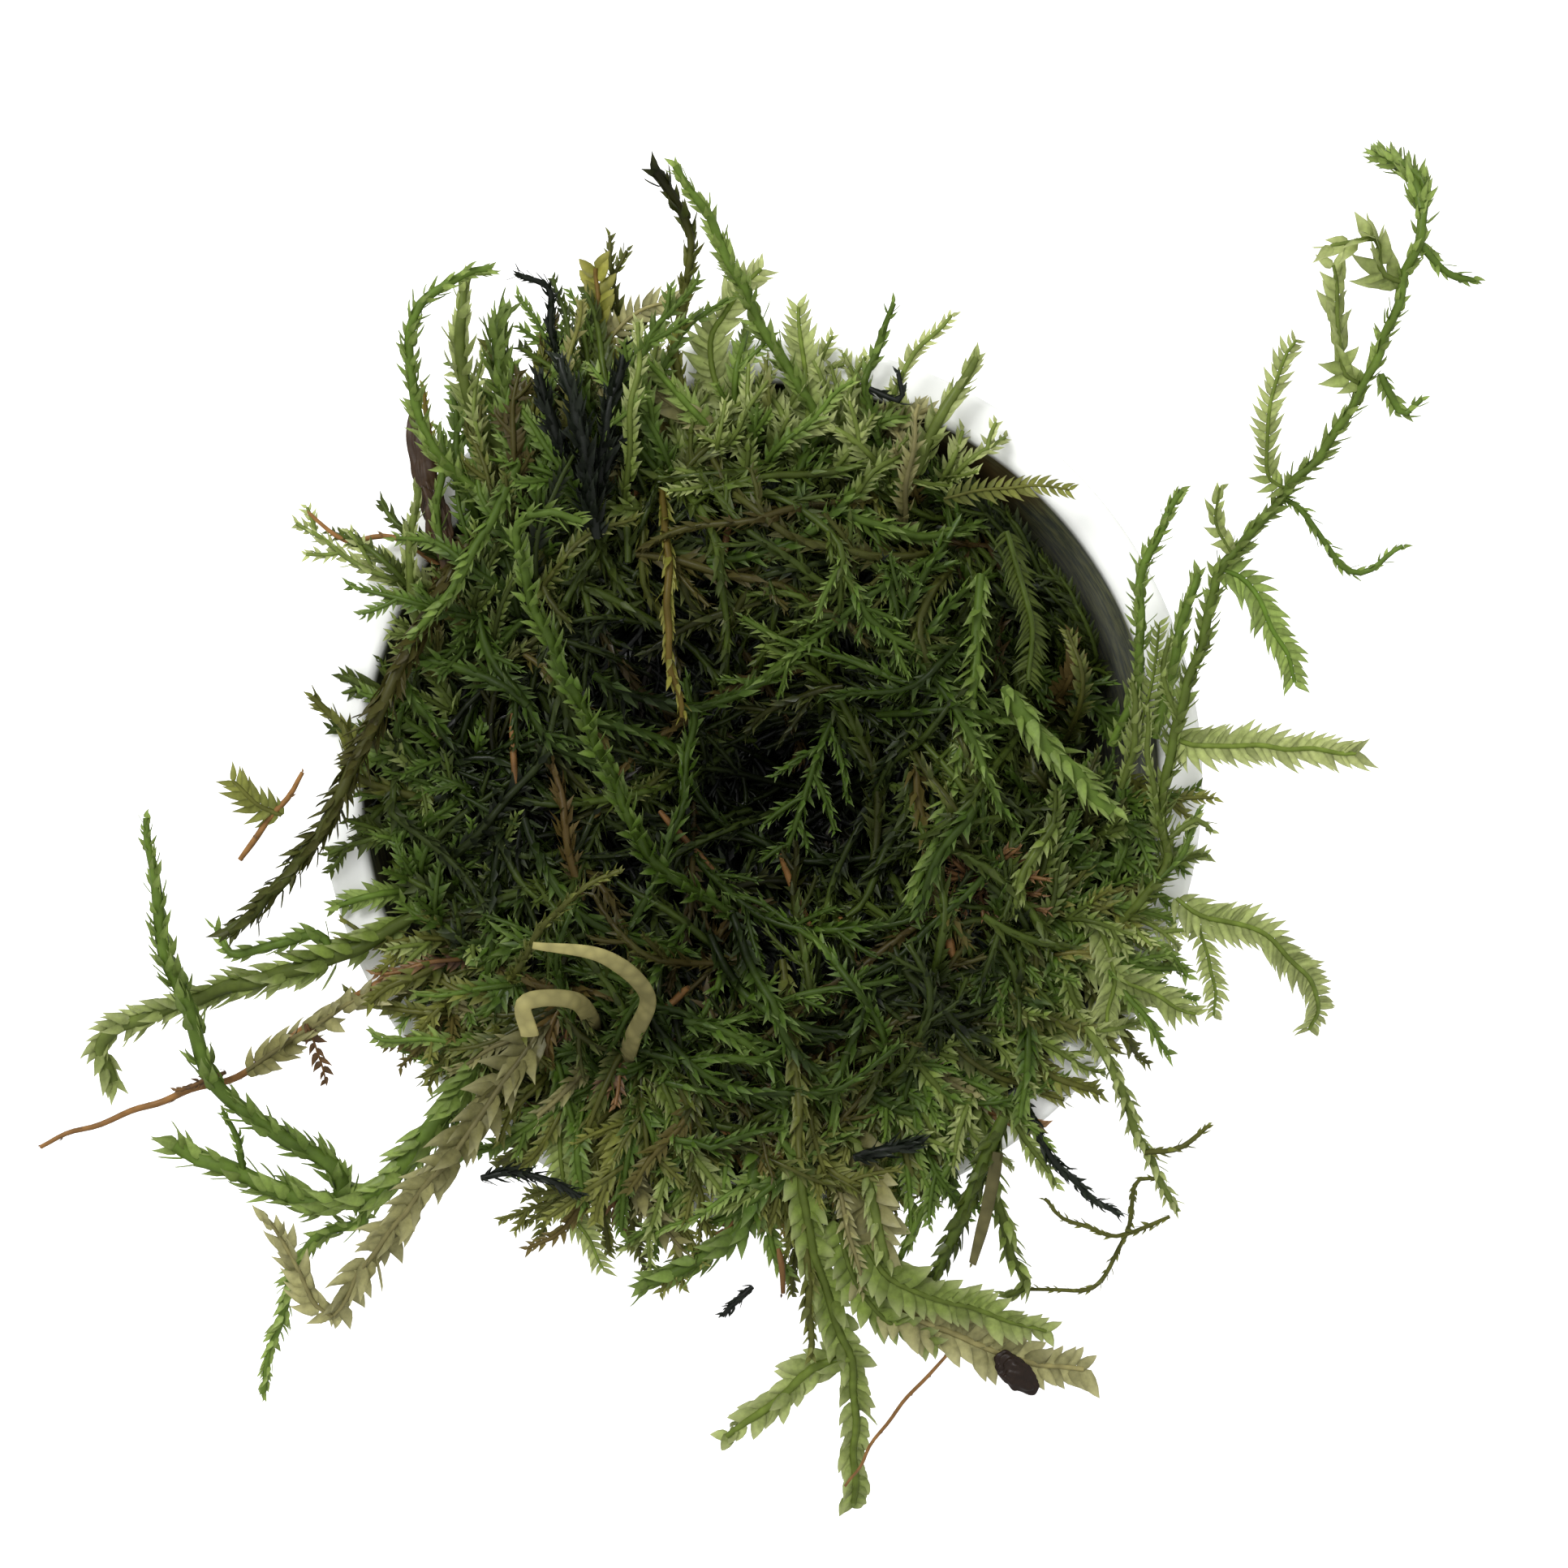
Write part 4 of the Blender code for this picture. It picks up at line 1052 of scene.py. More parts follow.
smallShoots = {
    "longShootHook": ("bodied", "moss_green", 0.7, (0.6, 0.8), [
        (43.4, 28.5, 12.5), (44.8, 25.8, 12), (46.3, 26.8, 12.5),
    ]),
    "longShootSpur": ("bodied", "moss_green", 0.7, (0.6, 0.8), [
        (46, 37.8, 15.2), (48.2, 35.4, 15), (50, 35, 14.5),
    ]),
    "longShootBud": ("shaggy", "moss_bright", 0.55, (0.6, 0.3), [
        (33, 15.8, 7), (31.8, 18, 8), (32.2, 20.4, 9),
    ]),
    "southeastTwig": ("thin", "moss_olive", 0.8, (0.5, 0.9), [
        (26.8, -26, 0), (29.5, -25.6, 0), (31.5, -24, 0.8),
    ]),
    "southeastHook": ("thin", "moss_olive", 0.7, (0.5, 0.9), [
        (28.6, -30.5, -2.2), (25, -31.8, -1.5), (21.5, -30.7, -1), (19.8, -29.3, -0.5),
    ]),
    "eastTwig": ("feather", "moss_bright", 0.7, (0.4, 0.8), [
        (30.4, -9.4, 2.2), (31.6, -13.5, 1), (31.8, -16.3, -1),
    ]),
    "westCross": ("feather", "moss_olive", 0.95, (0.6, 1.0), [
        (-33.6, -2.4, 2.6), (-35.3, -1.6, 2.8), (-37, 0, 3),
    ]),
    "westSprig": ("bodied", "moss_olive", 0.9, (0.2, 0.8), [
        (-23, -1.5, 0.8), (-28.5, 0.5, 2), (-29, 3.5, 2), (-31.5, 6, 2.5),
    ]),
    "acrossShoot": ("bodied", "moss_green", 0.85, (0.0, 0.1), [
        (3.5, -14, 0.6), (9, -15, 1.6), (16, -13.5, 1.6),
    ]),
    "greenArc": ("thin", "moss_green", 1.1, (0.0, 0.1), [
        (-2.5, -12, 0.5), (-3.5, -15.5, 2.4), (-7, -21, 2.2),
    ]),
    "combShoot": ("comb", "moss_dark", 1.0, (1.0, 1.2), [
        (17.2, 17.5, 3.2), (18.8, 11.5, 3.6), (18.8, 7, 3.4),
    ]),
    "palePair": ("feather", "moss_beige", 0.8, (0.5, 1.0), [
        (-11, 30.5, 2.2), (-9, 32.6, 2.4), (-6, 33.7, 2.8),
    ]),
    "paleStrap": ("shaggy", "moss_beige", 0.8, (0.0, 0.6), [
        (-3, 24.5, 2), (-6.5, 26.5, 2.4), (-9, 29.3, 2),
    ]),
    "southwestTwig": ("thin", "moss_green", 0.9, (0.3, 0.6), [
        (-36.2, -27.6, 0.6), (-36.6, -25.5, 1), (-37.6, -23.2, 1.6),
    ]),
    "westFeather": ("prickly", "moss_green", 1.0, (0.2, 0.5), [
        (-16.2, 24, 4), (-18.8, 18.5, 5.2), (-22, 13, 5), (-25, 9.5, 4.4),
    ]),
    "northFeather": ("feather", "moss_bright", 0.95, (0.3, 0.8), [
        (3.4, 24, 1), (3, 29, 2), (2.6, 33.3, 2.3),
    ]),
    "northHook": ("thin", "moss_black", 0.9, (0.3, 0.6), [
        (7.6, 27.5, 2.4), (9.7, 26.6, 3), (9.6, 28.6, 3.4),
    ]),
    "southeastFeather": ("feather", "moss_bright", 0.9, (0.1, 0.6), [
        (22.5, -8.5, 1), (24.6, -12.5, 2), (24.2, -17.5, 1.8),
    ]),
    "southFeather2": ("bodied", "moss_bright", 1.0, (0.2, 0.6), [
        (7.2, -27, 2), (8.4, -32, 2.2), (9.2, -36.5, 1.5),
    ]),
    "southFork": ("bodied", "moss_green", 0.8, (0.3, 0.6), [
        (13.4, -26.5, 1.5), (10.8, -31, 1.6), (9.4, -34.4, 1.2),
    ]),
    "brownStrap": ("shaggy", "moss_beige", 0.8, (-0.4, -0.1), [
        (-11, -24.5, 1.5), (-8.5, -29, 1.6), (-5.6, -32.6, 1),
    ]),
    "blackTuftLeft": ("tufty", "moss_black", 1.35, (0.2, 0.5), [
        (-12, 19, 3.5), (-14.5, 24.5, 5), (-15.5, 28.5, 5.5),
    ]),
    "blackTuftRight": ("tufty", "moss_black", 1.3, (0.2, 0.5), [
        (-11.5, 19.5, 3.6), (-10.8, 25, 5), (-9.4, 30.5, 5.5),
    ]),
    "blackTuftLow": ("tufty", "moss_black", 1.2, (0.2, 0.5), [
        (-12.2, 17, 3), (-11, 21.5, 4), (-9.2, 25, 4.2),
    ]),
    "southBlackClump": ("tufty", "moss_black", 1.2, (0.3, 0.7), [
        (6.5, -26.4, 2.6), (8.8, -25.8, 3), (11.3, -25.2, 2.8),
    ]),
    "southStrip": ("bodied", "moss_olive", 0.8, (0.3, 0.6), [
        (3.0, -29, 1.8), (3.3, -35, 1.6), (3.5, -40.3, 0.4),
    ]),
    "broadPartner": ("broad", "moss_bright", 0.9, (-0.1, 0.5), [
        (7.3, -32.5, 2.0), (9.5, -35.2, 2.4), (15, -37, 1.8), (20, -38.6, 1.0),
    ]),
    "broadFoot": ("broad", "moss_bright", 0.8, (-0.2, 0.1), [
        (5.4, -31, 2.0), (6.4, -34.6, 2.0), (8.6, -37.6, 1.6), (12, -39.4, 1.0),
    ]),
    "blackBud": ("tufty", "moss_black", 0.75, (0.2, 0.4), [
        (-0.6, -35.4, 0.9), (-1.8, -36.5, 0.8), (-2.7, -37.4, 0.6),
    ]),
    "greyStrip": ("strap", "moss_beige", 0.4, (-0.5, -0.2), [
        (16.6, -26, 4.9), (15.8, -30, 4.6), (14.8, -33.8, 3.2),
    ]),
    "witheredRag": ("shaggy", "moss_beige", 0.85, (-0.1, 0.5), [
        (-36, -20.3, -0.7), (-31.5, -17.2, 0.9), (-28, -15.2, 1.9), (-25, -13.8, 1.8),
    ]),
    "witheredLeaf": ("shaggy", "dead_brown", 0.42, (0.1, 0.4), [
        (-31.8, -17, 1.2), (-31, -19, 0.6), (-30.6, -21, -0.4),
    ]),
    "witheredLeaf2": ("bodied", "dead_brown", 0.5, (0.2, 0.5), [
        (-37.5, -20.4, -0.6), (-39.6, -21.2, -1.0), (-41, -21.6, -1.4),
    ]),
    "longShootCrown": ("tufty", "moss_green", 1.4, (1.0, 1.2), [
        (46.2, 40, 15.6), (45.6, 42.4, 14.8), (43.2, 43.9, 12.8),
    ]),
    "longShootFuzz1": ("bodied", "moss_bright", 0.6, (-0.1, 0.3), [
        (28, -3, 3.4), (27.2, 1, 4), (27, 5, 4.5),
    ]),
    "longShootFuzz2": ("bodied", "moss_bright", 0.6, (0.1, 0.5), [
        (28.6, -4, 3.2), (30.4, -2.6, 3.2), (31.6, -3.4, 2.8),
    ]),
    "longShootFuzz3": ("bodied", "moss_green", 0.6, (0.1, 0.5), [
        (27.8, -7, 2.6), (29.6, -5, 2.8), (30.6, -2, 3),
    ]),
    "longShootFuzz4": ("bodied", "moss_bright", 0.6, (0.1, 0.4), [
        (29.4, 4, 4.4), (28.2, 7, 4.6), (28.6, 10, 5),
    ]),
    "eastLeafy1": ("bodied", "moss_bright", 0.75, (0.0, 0.5), [
        (25.2, -0.5, 1.6), (26.2, 3, 2.4), (26, 7, 3),
    ]),
    "eastLeafy2": ("feather", "moss_bright", 0.65, (0.0, 0.5), [
        (25.6, 1.5, 1.6), (27.2, 6, 2.6), (27.8, 11, 3.4),
    ]),
    "southeastLeafy": ("bodied", "moss_bright", 0.9, (-0.1, 0.2), [
        (20.5, -3, 3.2), (18.6, -6, 3.4), (17.6, -9.4, 3),
    ]),
    "barkShoot": ("bodied", "moss_bright", 0.9, (0.1, 0.5), [
        (-23.2, 9, 1.4), (-24.5, 13, 2.4), (-24.5, 17, 3), (-24, 20.5, 3.4),
    ]),
    "barkSprig": ("thin", "moss_green", 1.1, (0.3, 0.7), [
        (-22.3, 15.5, 3.2), (-22.7, 19, 3.6), (-22.3, 22, 4), (-22.6, 25, 4),
    ]),
    "northwestTip": ("thin", "moss_golden", 0.8, (0.3, 0.6), [
        (-22.6, 22, 2), (-23.4, 25, 3), (-23.6, 27.6, 3.4),
    ]),
}
middleFrond = {
    "slot": "moss_green", "tone": (-0.2, 0.0), "twigs": 5.0,
    "plan": [(5.6, 5.5, -3.2), (4.2, 2.5, -2.6), (2.6, -2.5, -2.6), (1.4, -6, -3.2)],
}

print("small shoots")
for name, made in smallShoots.items():
    growShoot(name, *made, seed, 0.1)
    seed += 1
chance = np.random.default_rng(seed)
points = smoothLine([place(*point) for point in middleFrond["plan"]], 0.9)
line = dressed(points, chance, size=1.1, tone=middleFrond["tone"])
twigs = sideBranches(chance, line, 2, middleFrond["twigs"], {"size": 0.9, "tone": middleFrond["tone"]})
grow("middleFrond", [line, *twigs], middleFrond["slot"], {**shootBuilds["frond"], "seed": seed})

# Litter on the bed: brown needles and crumbs, given as where they start and end, with
# their size.

litter = [
    (-1.85, 19.5, -2.4, 15.5, 1.1), (-17.2, 4.7, -16.9, -1.5, 1.0), (-7.2, -2.1, -3.3, -6.4, 1.0),
    (5.5, -9.5, 6.7, -13.2, 1.3), (12.9, -10.6, 13.5, -12.9, 1.4), (-5, -14.3, -6.7, -15.7, 1.1),
    (-8.4, 20.6, -10, 18.4, 1.0), (1.3, -5, 3.5, -10.6, 1.1), (-3.3, -24.3, 0.4, -24.5, 1.4),
    (1.2, -32.5, 1.6, -35.5, 0.9), (-22, 19, -22.8, 12, 1.8),
]
tuft = {"x": 15.4, "y": -7.2, "shoots": 26, "long": (1.6, 3.4)}

chance = np.random.default_rng(71)
needles = []
for startX, startY, endX, endY, size in litter:
    run = np.linspace(0, 1, 6)
    x, y = startX + (endX - startX) * run, startY + (endY - startY) * run
    z = []
    for end in (0, -1):
        overLip = cupSizes["height"] + 0.8 if math.hypot(x[end], y[end]) > 27 else 0
        z.append(max(bedTop(x[end], y[end]) + 2.2, overLip))
    points = np.stack([x, y, np.linspace(*z, 6)], axis=1)
    needles.append(dressed(points, chance, size=size, tone=(0.3, 0.0), wobble=0.15, foot=0.6, tip=0.7))
grow("litterNeedles", needles, "dead_brown", {**shootBuilds["bare"], "seed": 71})
brown = []
for _ in range(tuft["shoots"]):
    way = chance.uniform(0, turn)
    length = chance.uniform(*tuft["long"])
    x, y = tuft["x"] + chance.normal(0, 1), tuft["y"] + chance.normal(0, 1)
    run = np.linspace(0, length, 5)
    z = bedTop(x, y) + 1.2 + run * chance.uniform(0.2, 0.6)
    points = np.stack([x + run * math.cos(way), y + run * math.sin(way), z], axis=1)
    brown.append(dressed(points, chance, size=0.8, tone=(-0.1, 0.5)))
grow("brownTuft", brown, "dead_brown", {**shootBuilds["frond"], "seed": 72})

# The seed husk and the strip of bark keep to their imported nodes: rough lumps that
# start as balls and are pushed about by noise.

roughPieces = {
    "seedHusk": {
        "nodes": ["seed_husk"], "middle": (17.6, -41.5, 0.8), "size": (3.5, 1.8, 1.4), "heading": -40,
        "rough": 0.2, "tone": -0.3, "seed": 5,
    },
    "barkPatch": {
        "nodes": [], "middle": (-22.5, 18.2, 3.0), "size": (5.4, 1.4, 0.7), "heading": 101,
        "rough": 0.36, "tone": 0.15, "seed": 7,
    },
    "barkStrip": {
        "nodes": ["bark_strip"], "middle": (-23.6, 21.8, 1.8), "size": (6.2, 1.4, 0.8), "heading": 98,
        "rough": 0.34, "tone": 0.2, "seed": 6,
    },
}
roughWaves = {"count": 18, "slow": 4, "fast": 44, "leafShade": 0.3}


def roughPiece(name, made):
    mesh = bpy.data.meshes.new(name)
    ball = bmesh.new()
    bmesh.ops.create_icosphere(ball, subdivisions=5, radius=0.5)
    heading = math.radians(made["heading"])
    middle = place(*made["middle"])
    chance = np.random.default_rng(made["seed"])
    count = roughWaves["count"]
    speeds = np.geomspace(roughWaves["slow"], roughWaves["fast"], count)[:, None] / 2
    waves = chance.normal(0, 1, (count, 3)) * speeds
    shift = chance.uniform(0, turn, count)
    weights = 1 / (2 + np.arange(count) * 0.32)
    for corner in ball.verts:
        where = np.array(corner.co)
        push = np.sum(np.sin(waves @ where + shift) * weights)
        x, y, z = where * (1 + made["rough"] * push) * np.array(made["size"])
        x, y = (
            x * math.cos(heading) - y * math.sin(heading),
            x * math.sin(heading) + y * math.cos(heading),
        )
        corner.co = Vector(middle + (x, y, z)) * mm
    ball.to_mesh(mesh)
    ball.free()
    mesh.shade_smooth()
    for label, value in (("tone", made["tone"]), ("leafShade", roughWaves["leafShade"])):
        layer = mesh.attributes.new(label, "FLOAT", "POINT")
        layer.data.foreach_set("value", np.full(len(mesh.vertices), value, np.float32))
    mesh.materials.append(mossFinish["dead_brown"])
    handOver(newPiece(name, mesh), "dead_brown", *made["nodes"])


print("husk and bark")
for name, made in roughPieces.items():
    roughPiece(name, made)

# The cup: one turned profile from the middle of its floor up the inside, over the lip
# and down the outside, thin and slightly rounded everywhere.

cupRounds = {
    "floor": 1.2, "mouth": 0.7, "lip": 0.6, "lipInside": 0.3, "underLip": 0.5, "foot": 0.9, "ring": 0.35,
}


def arc(x, z, radius, start, end, steps):
    for step in range(steps + 1):
        angle = math.radians(start + (end - start) * step / steps)
        yield x + radius * math.cos(angle), z + radius * math.sin(angle)


def cupProfile():
    c, r = cupSizes, cupRounds
    wall, lipEnd, top = c["wall"], c["mouth"] + c["lip"], c["height"]
    lipIn, lipLow, underLip = lipEnd - wall, top - c["lipDrop"], top - wall
    yield 0, c["floor"]
    yield from arc(c["base"] - wall - r["floor"], c["floor"] + r["floor"], r["floor"], -90, -10, 8)
    yield from arc(c["mouth"] + r["mouth"], top - r["mouth"], r["mouth"], 168, 90, 8)
    yield from arc(lipEnd - r["lip"], top - r["lip"], r["lip"], 90, 0, 8)
    yield from arc(lipEnd - 0.2, lipLow + 0.2, 0.2, 0, -90, 3)
    yield from arc(lipIn + 0.15, lipLow + 0.15, 0.15, -90, -180, 3)
    yield lipIn, underLip - r["lipInside"]
    yield from arc(lipIn - r["lipInside"], underLip - r["lipInside"], r["lipInside"], 0, 90, 4)
    yield from arc(c["mouth"] + wall + r["underLip"], underLip - r["underLip"], r["underLip"], 90, 168, 4)
    yield from arc(c["base"] - r["foot"], r["foot"], r["foot"], 8, -90, 8)
    yield from arc(c["base"] - 2.6, r["ring"], r["ring"], -90, -180, 3)
    yield c["base"] - 3.2, 0.5
    yield 0, 0.5


def cupFinish():
    material, tree, shader = newMaterial("cupFinish")
    where = tree.nodes.new("ShaderNodeTexCoord").outputs["Object"]
    east, north, height = addNode(tree, "ShaderNodeSeparateXYZ", Vector=where).outputs
    cloud = noise(tree, where, 60.0, 4.0)
    fine = noise(tree, where, 900.0)
    stretched = addNode(tree, "ShaderNodeMapping", Vector=where, Scale=(1, 1, 6)).outputs[0]
    scuffs = noise(tree, stretched, 400.0, 6.0, 0.7)
    # painted shade: the inside wall under the lip is dull dark olive, for the shade and green moss light
    # there
    outward = math1(tree, "SQRT", math1(tree, "MULTIPLY_ADD", east, east, times(tree, north, north)))
    half = cupSizes["wall"] / 2
    middle = remap(
        tree, height, 0.0, cupSizes["height"] * mm,
        (cupSizes["base"] - half) * mm, (cupSizes["mouth"] + half) * mm,
    )
    wallShadeTop = (cupSizes["height"] - 0.3) * mm
    paintedWallShade = times(
        tree,
        remap(tree, math1(tree, "SUBTRACT", middle, outward), 0.0, 0.2 * mm, 0.0, 1.0),
        remap(tree, height, wallShadeTop - 0.6 * mm, wallShadeTop, 1.0, 0.0),
        remap(tree, cloud, 0.3, 0.6, 0.88, 1.0),
    )

    def patches(pattern, low, high, below, above):
        return mix(tree, "RGBA", remap(tree, pattern, low, high, 0.0, 1.0), below, above)

    plastic = patches(cloud, 0.3, 0.7, tint(238, 239, 236), tint(245, 246, 243))
    wallShadeColour = patches(scuffs, 0.42, 0.6, tint(28, 35, 19), tint(82, 84, 46))
    wallShadeColour = patches(cloud, 0.52, 0.62, wallShadeColour, tint(74, 62, 38))
    colour = mix(tree, "RGBA", paintedWallShade, plastic, wallShadeColour)
    grains = math1(tree, "ADD", fine, scuffs)
    bump = addNode(tree, "ShaderNodeBump", Strength=0.12, Distance=0.03 * mm, Height=grains)
    setSockets(
        tree, shader, Base_Color=colour, Specular_IOR_Level=0.45, Normal=bump.outputs[0],
        Roughness=remap(tree, scuffs, 0.35, 0.7, 0.28, 0.5),
    )
    # the thin milky plastic lets some light through, and the painted wall shade is dull
    through = addNode(tree, "ShaderNodeBsdfTranslucent", Color=colour)
    dull = addNode(tree, "ShaderNodeBsdfDiffuse", Color=colour)
    mixed = mixShaders(tree, paintedWallShade, mixShaders(tree, 0.25, shader, through), dull)
    tree.links.new(mixed.outputs[0], tree.nodes["Material Output"].inputs[0])
    return material


def cup():
    mesh = bpy.data.meshes.new("cupBody")
    profile = [(x * mm, 0, z * mm) for x, z in cupProfile()]
    mesh.from_pydata(profile, [(i, i + 1) for i in range(len(profile) - 1)], [])
    piece = newPiece("cupBody", mesh)
    turned = piece.modifiers.new("turned", "SCREW")
    turned.steps = turned.render_steps = 160
    turned.use_merge_vertices = True
    turned.merge_threshold = 0.00001
    piece.data = worked(piece)
    form = bmesh.new()
    form.from_mesh(piece.data)
    bmesh.ops.remove_doubles(form, verts=form.verts, dist=0.000001)
    bmesh.ops.recalc_face_normals(form, faces=form.faces)
    form.to_mesh(piece.data)
    form.free()
    piece.data.shade_smooth()
    piece.data.materials.append(cupFinish())
    handOver(piece, "cup_white", "cup")


print("cup")
cup()

# The fringe: short shoots that climb out of the bed and over the lip. Angles are in
# degrees from the east, turning to the north. A sector that is "inside" keeps that far
# from the wall.

fringes = {
    "north": {
        "arc": (58, 112), "heading": 88, "stray": 38, "long": (5, 11), "rise": (1, 4), "shade": 0.45,
        "shoots": {"moss_bright": 30, "moss_green": 8, "moss_beige": 8},
    },
    "northwest": {
        "arc": (105, 158), "heading": 95, "stray": 18, "long": (8, 16), "rise": (1, 6),
        "shoots": {"moss_green": 46, "moss_bright": 22, "moss_dark": 16, "moss_olive": 8},
    },
    "west": {
        "arc": (152, 212), "heading": 125, "stray": 42, "long": (4, 8), "rise": (0.6, 2.5), "shade": 0.1,
        "shoots": {"moss_green": 32, "moss_dark": 18, "moss_bright": 18},
    },
    "southwest": {
        "arc": (208, 250), "heading": 225, "stray": 40, "long": (7, 13), "rise": (0.8, 3),
        "shoots": {"moss_olive": 36, "moss_green": 20, "dead_brown": 5, "moss_beige": 4},
    },
    "south": {
        "arc": (245, 300), "heading": 268, "stray": 40, "long": (8, 14), "rise": (0.8, 3),
        "shoots": {"moss_olive": 40, "moss_green": 26, "moss_bright": 16, "dead_brown": 4, "moss_beige": 5},
    },
    "southeast": {
        "arc": (292, 340), "heading": 305, "stray": 45, "long": (6, 12), "rise": (0.8, 3),
        "shoots": {"moss_green": 40, "moss_bright": 28, "moss_olive": 10},
    },
    "east": {
        "arc": (332, 374), "heading": 40, "stray": 34, "long": (5, 10), "rise": (0.8, 2.6),
        "shoots": {"moss_green": 26, "moss_bright": 10, "moss_olive": 14},
    },
    "northeast": {
        "arc": (12, 58), "heading": 110, "stray": 22, "long": (12, 20), "rise": (-5, -1.2), "inside": 1.75,
        "shade": -0.05, "shoots": {"moss_dark": 56, "moss_green": 8},
    },
}
fringeTones = {
    "moss_bright": (0.0, 0.8), "moss_green": (0.0, 0.7), "moss_olive": (0.1, 0.9), "moss_dark": (0.3, 1.0),
    "moss_beige": (0.0, 0.6), "dead_brown": (0.2, 0.8),
}
# places that the fringe leaves free for the bark and the shoots in the east
keepClear = [
    (-23.4, 21.6, 1.7), (-22.4, 18.4, 1.6), (-23.2, 19.8, 1.6),
    (26, 7, 3.2), (25.5, 11, 3.4), (23.5, 15, 3.2), (27, 3, 2.6),
]


def restHeight(x, y):
    # what a shoot lies on there: the bed, the lip, or nothing
    radius = math.hypot(x, y)
    if radius < cupSizes["mouth"] - 1.2:
        return bedTop(x, y) + 0.4
    if radius < cupSizes["mouth"] + cupSizes["lip"] + 0.5:
        return cupSizes["height"] + 0.5
    return 1.0


def blocked(points):
    return any(
        np.min(np.hypot(points[:, 0] - x, points[:, 1] - y)) < radius for x, y, radius in keepClear
    )


def drawnIn(x, y, z, distance):
    # keeps a distance from the cup's wall
    inward = min(1.0, (wallInside(z) - distance) / math.hypot(x, y))
    return x * inward, y * inward, z


fringeShape = {"foot": (19, 25.5), "ownWay": 0.6, "sag": (0, 4), "bend": (-0.9, 0.9), "step": 0.9}


def fringeLine(chance, sector):
    angle = math.radians(chance.uniform(*sector["arc"]))
    x, y = onward(0, 0, angle, chance.uniform(*fringeShape["foot"]))
    # most shoots follow the sector's own way, and the others lean straight out
    way = math.radians(sector["heading"]) if chance.random() < fringeShape["ownWay"] else angle
    heading = way + math.radians(chance.normal(0, sector["stray"]))
    length = chance.uniform(*sector["long"])
    rise = chance.uniform(*sector["rise"])
    sag = chance.uniform(*fringeShape["sag"])
    bend = chance.uniform(*fringeShape["bend"])
    step = fringeShape["step"]
    count = max(5, round(length / step))
    start = bedTop(x, y) + 0.3
    climb = cupSizes["height"] + rise - start
    points = []
    for i in range(count):
        share = i / (count - 1)
        z = start + climb * math.sin(min(share * 1.6, 1) * math.pi / 2) - sag * share**2.5
        if "inside" in sector:
            points.append(drawnIn(x, y, z, sector["inside"]))
            if wallInside(z) - sector["inside"] < math.hypot(x, y):
                heading = math.atan2(y, x) + 1.75
        else:
            points.append((x, y, max(z, restHeight(x, y))))
        heading += bend * step / length
        x, y = onward(x, y, heading, step)
    return np.array(points)


def fringe(name, sector, slot, shoots, seed):
    chance = np.random.default_rng(seed)
    lines = []
    for _ in range(shoots):
        tone = chance.uniform(*fringeTones[slot])
        dead = chance.uniform(0.3, 1) if chance.random() < 0.06 else 0.0
        points = fringeLine(chance, sector)
        if "inside" not in sector and blocked(points):
            continue
        size, twist = chance.uniform(0.75, 1.15), chance.uniform(-0.6, 0.6)
        line = dressed(points, chance, size, (tone - 0.25, tone + 0.2), (dead, dead), twist, 0.2)
        lines.append(line)
        if chance.random() < 0.3:
            twigs = {"size": 0.75, "tone": (tone, tone + 0.2), "dead": (dead, dead)}
            lines += sideBranches(chance, line, 3, 3.5, {**twigs, "twist": chance.uniform(-0.6, 0.6)})
    for line in lines:
        if "inside" in sector:
            line["points"] = np.array([drawnIn(*point, sector["inside"]) for point in line["points"]])
        # painted shade: a shoot is darker the nearer it lies to the bed, inside the cup
        inner = [1 - smoothStep((math.hypot(x, y) - 22) / 7) for x, y, z in line["points"]]
        # a sector's shade lightens or darkens its shoots as painted light and shade
        line["tone"] = line["tone"] - 0.7 * np.array(inner) + sector.get("shade", 0)
    grow(name, lines, slot, {**shootBuilds["fringe"], "seed": seed}, "moss_bed")


print("fringe")
seed = 300
for side, sector in fringes.items():
    for slot, shoots in sector["shoots"].items():
        fringe(side + "Fringe" + slot.split("_")[1].capitalize(), sector, slot, shoots, seed)
        seed += 1

print("triangles", sum(triangles.values()), "in", len(triangles), "pieces")

for leaf in leaves.values():
    bpy.data.objects.remove(leaf)

# Floor, light and camera

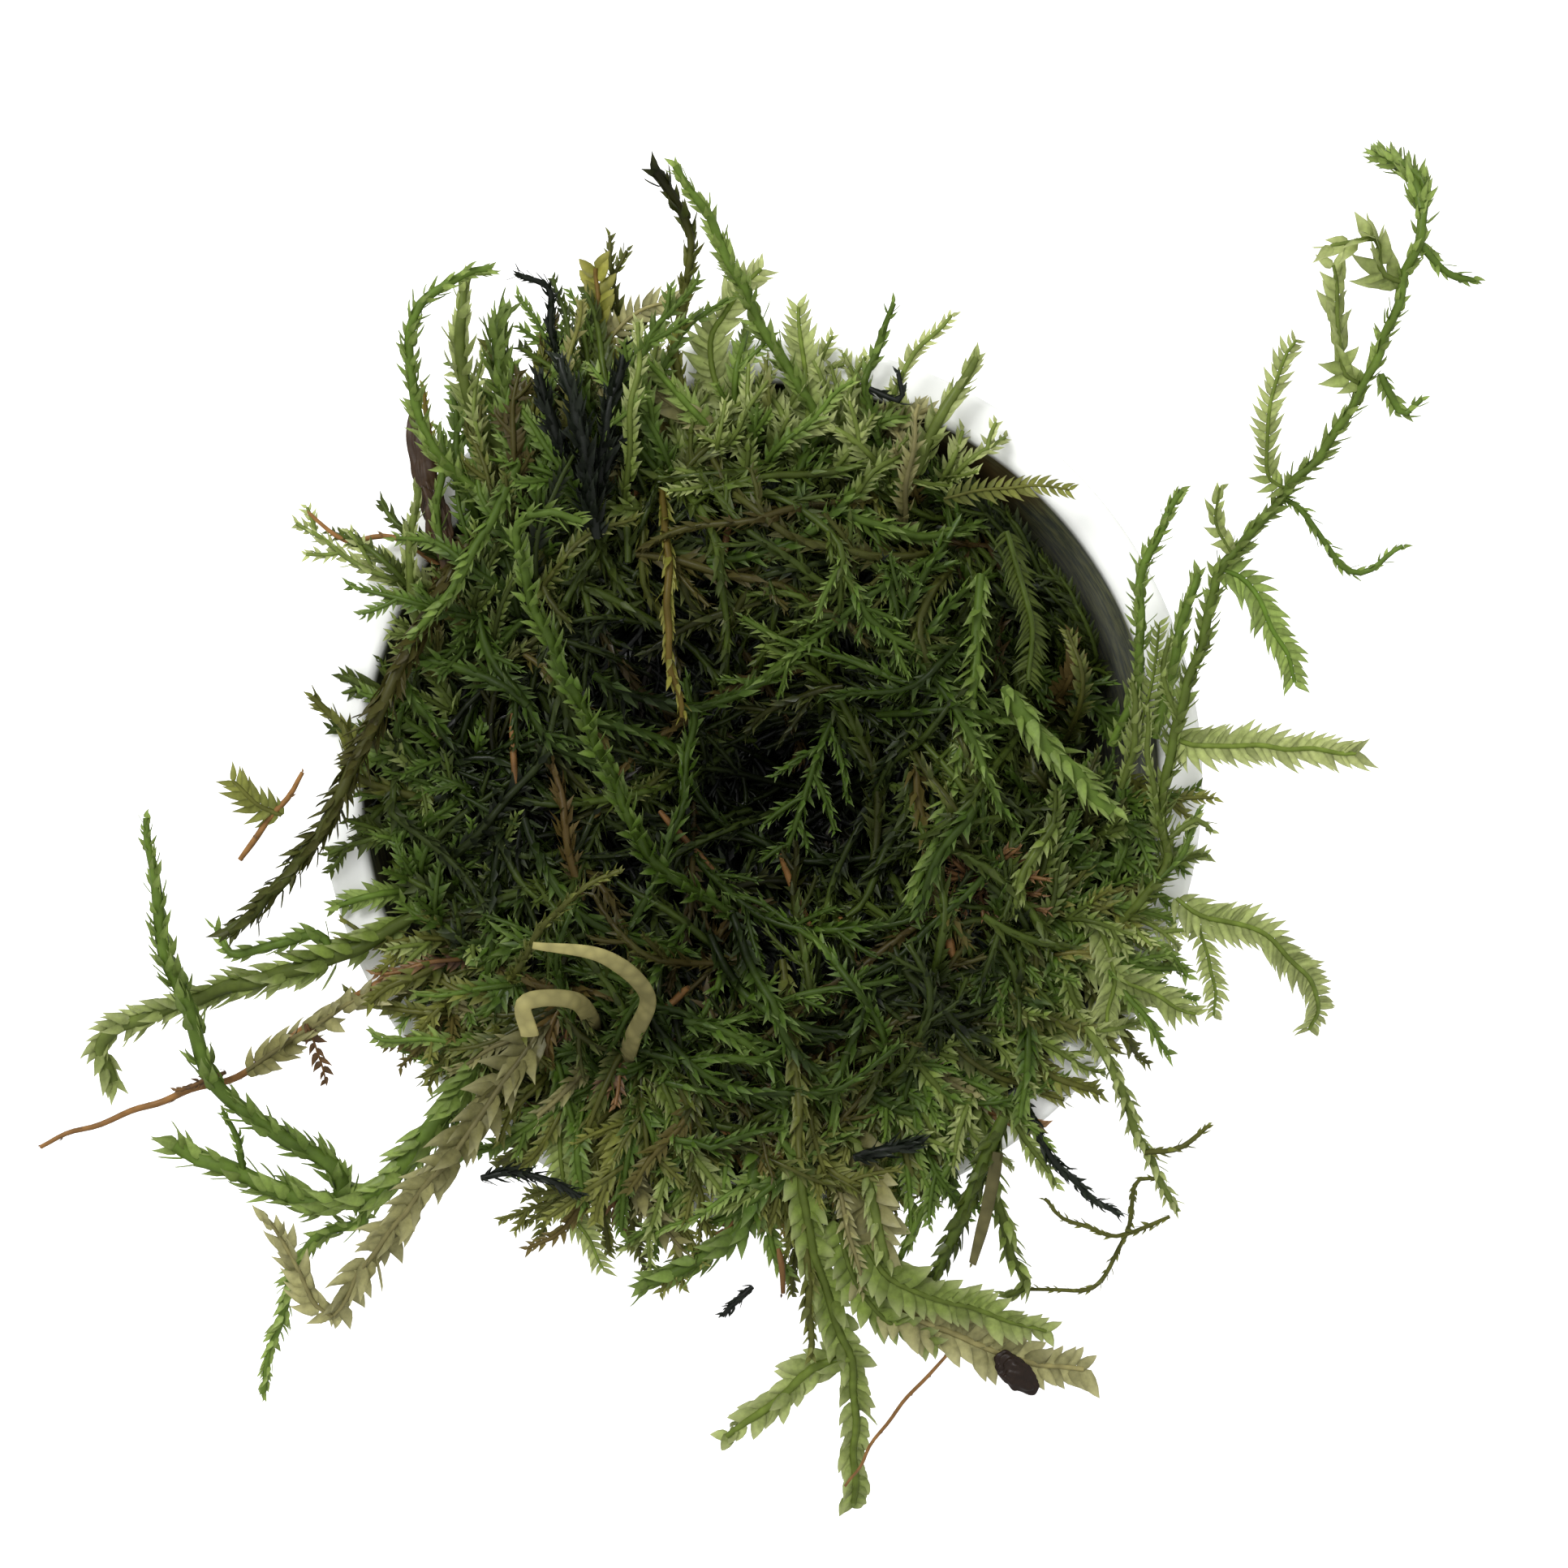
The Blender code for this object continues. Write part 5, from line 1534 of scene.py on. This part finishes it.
print("stage")
ground = {"half": 3, "grey": (0.6, 0.6, 0.6, 1), "roughness": 0.9, "specular": 0.1, "glow": 0.7}
half = ground["half"]
floorMesh = bpy.data.meshes.new("floor")
corners = [(-half, -half, 0), (half, -half, 0), (half, half, 0), (-half, half, 0)]
floorMesh.from_pydata(corners, [], [(0, 1, 2, 3)])
floor = newPiece("floor", floorMesh)
floorFinish, tree, floorShader = newMaterial("floorFinish")
# the ground looks burnt out to white, and lights the cup only as a pale ground would
floorSeen = addNode(
    tree, "ShaderNodeBsdfPrincipled", Emission_Color=(1, 1, 1, 1), Emission_Strength=ground["glow"],
)
for shader in (floorShader, floorSeen):
    setSockets(
        tree, shader, Base_Color=ground["grey"], Roughness=ground["roughness"],
        Specular_IOR_Level=ground["specular"],
    )
direct = tree.nodes.new("ShaderNodeLightPath").outputs["Is Camera Ray"]
mixed = mixShaders(tree, direct, floorShader, floorSeen)
tree.links.new(mixed.outputs[0], tree.nodes["Material Output"].inputs[0])
floorMesh.materials.append(floorFinish)

world = bpy.data.worlds.new("studio")
scene.world = world
world.use_nodes = True
sky = world.node_tree
skyWay = sky.nodes.new("ShaderNodeTexCoord").outputs["Generated"]
up = addNode(sky, "ShaderNodeSeparateXYZ", Vector=skyWay).outputs[2]
setSockets(sky, sky.nodes["Background"], Color=(1, 1, 1, 1), Strength=remap(sky, up, 0.0, 1.0, 1.05, 1.15))

lampAt = {"place": (-0.16, 0.2, 0.36), "aim": (0, 0, 0.03), "wide": 0.16, "power": 1.5}
lamp = newPiece("softLamp", bpy.data.lights.new("softLamp", "AREA"))
lamp.data.size = lampAt["wide"]
lamp.data.energy = lampAt["power"]
lamp.location = lampAt["place"]
lamp.rotation_euler = (Vector(lampAt["aim"]) - lamp.location).to_track_quat("-Z", "Y").to_euler()

camera = newPiece("camera", bpy.data.cameras.new("camera"))
camera.data.sensor_width = 36
camera.data.lens = camera.data.sensor_width * eye["overLip"] / eye["frameWide"]
camera.data.clip_start = 0.005
camera.data.clip_end = 10
camera.location = (eye["x"] * mm, eye["y"] * mm, (cupSizes["height"] + eye["overLip"]) * mm)
scene.camera = camera
scene.view_settings.view_transform = "Standard"
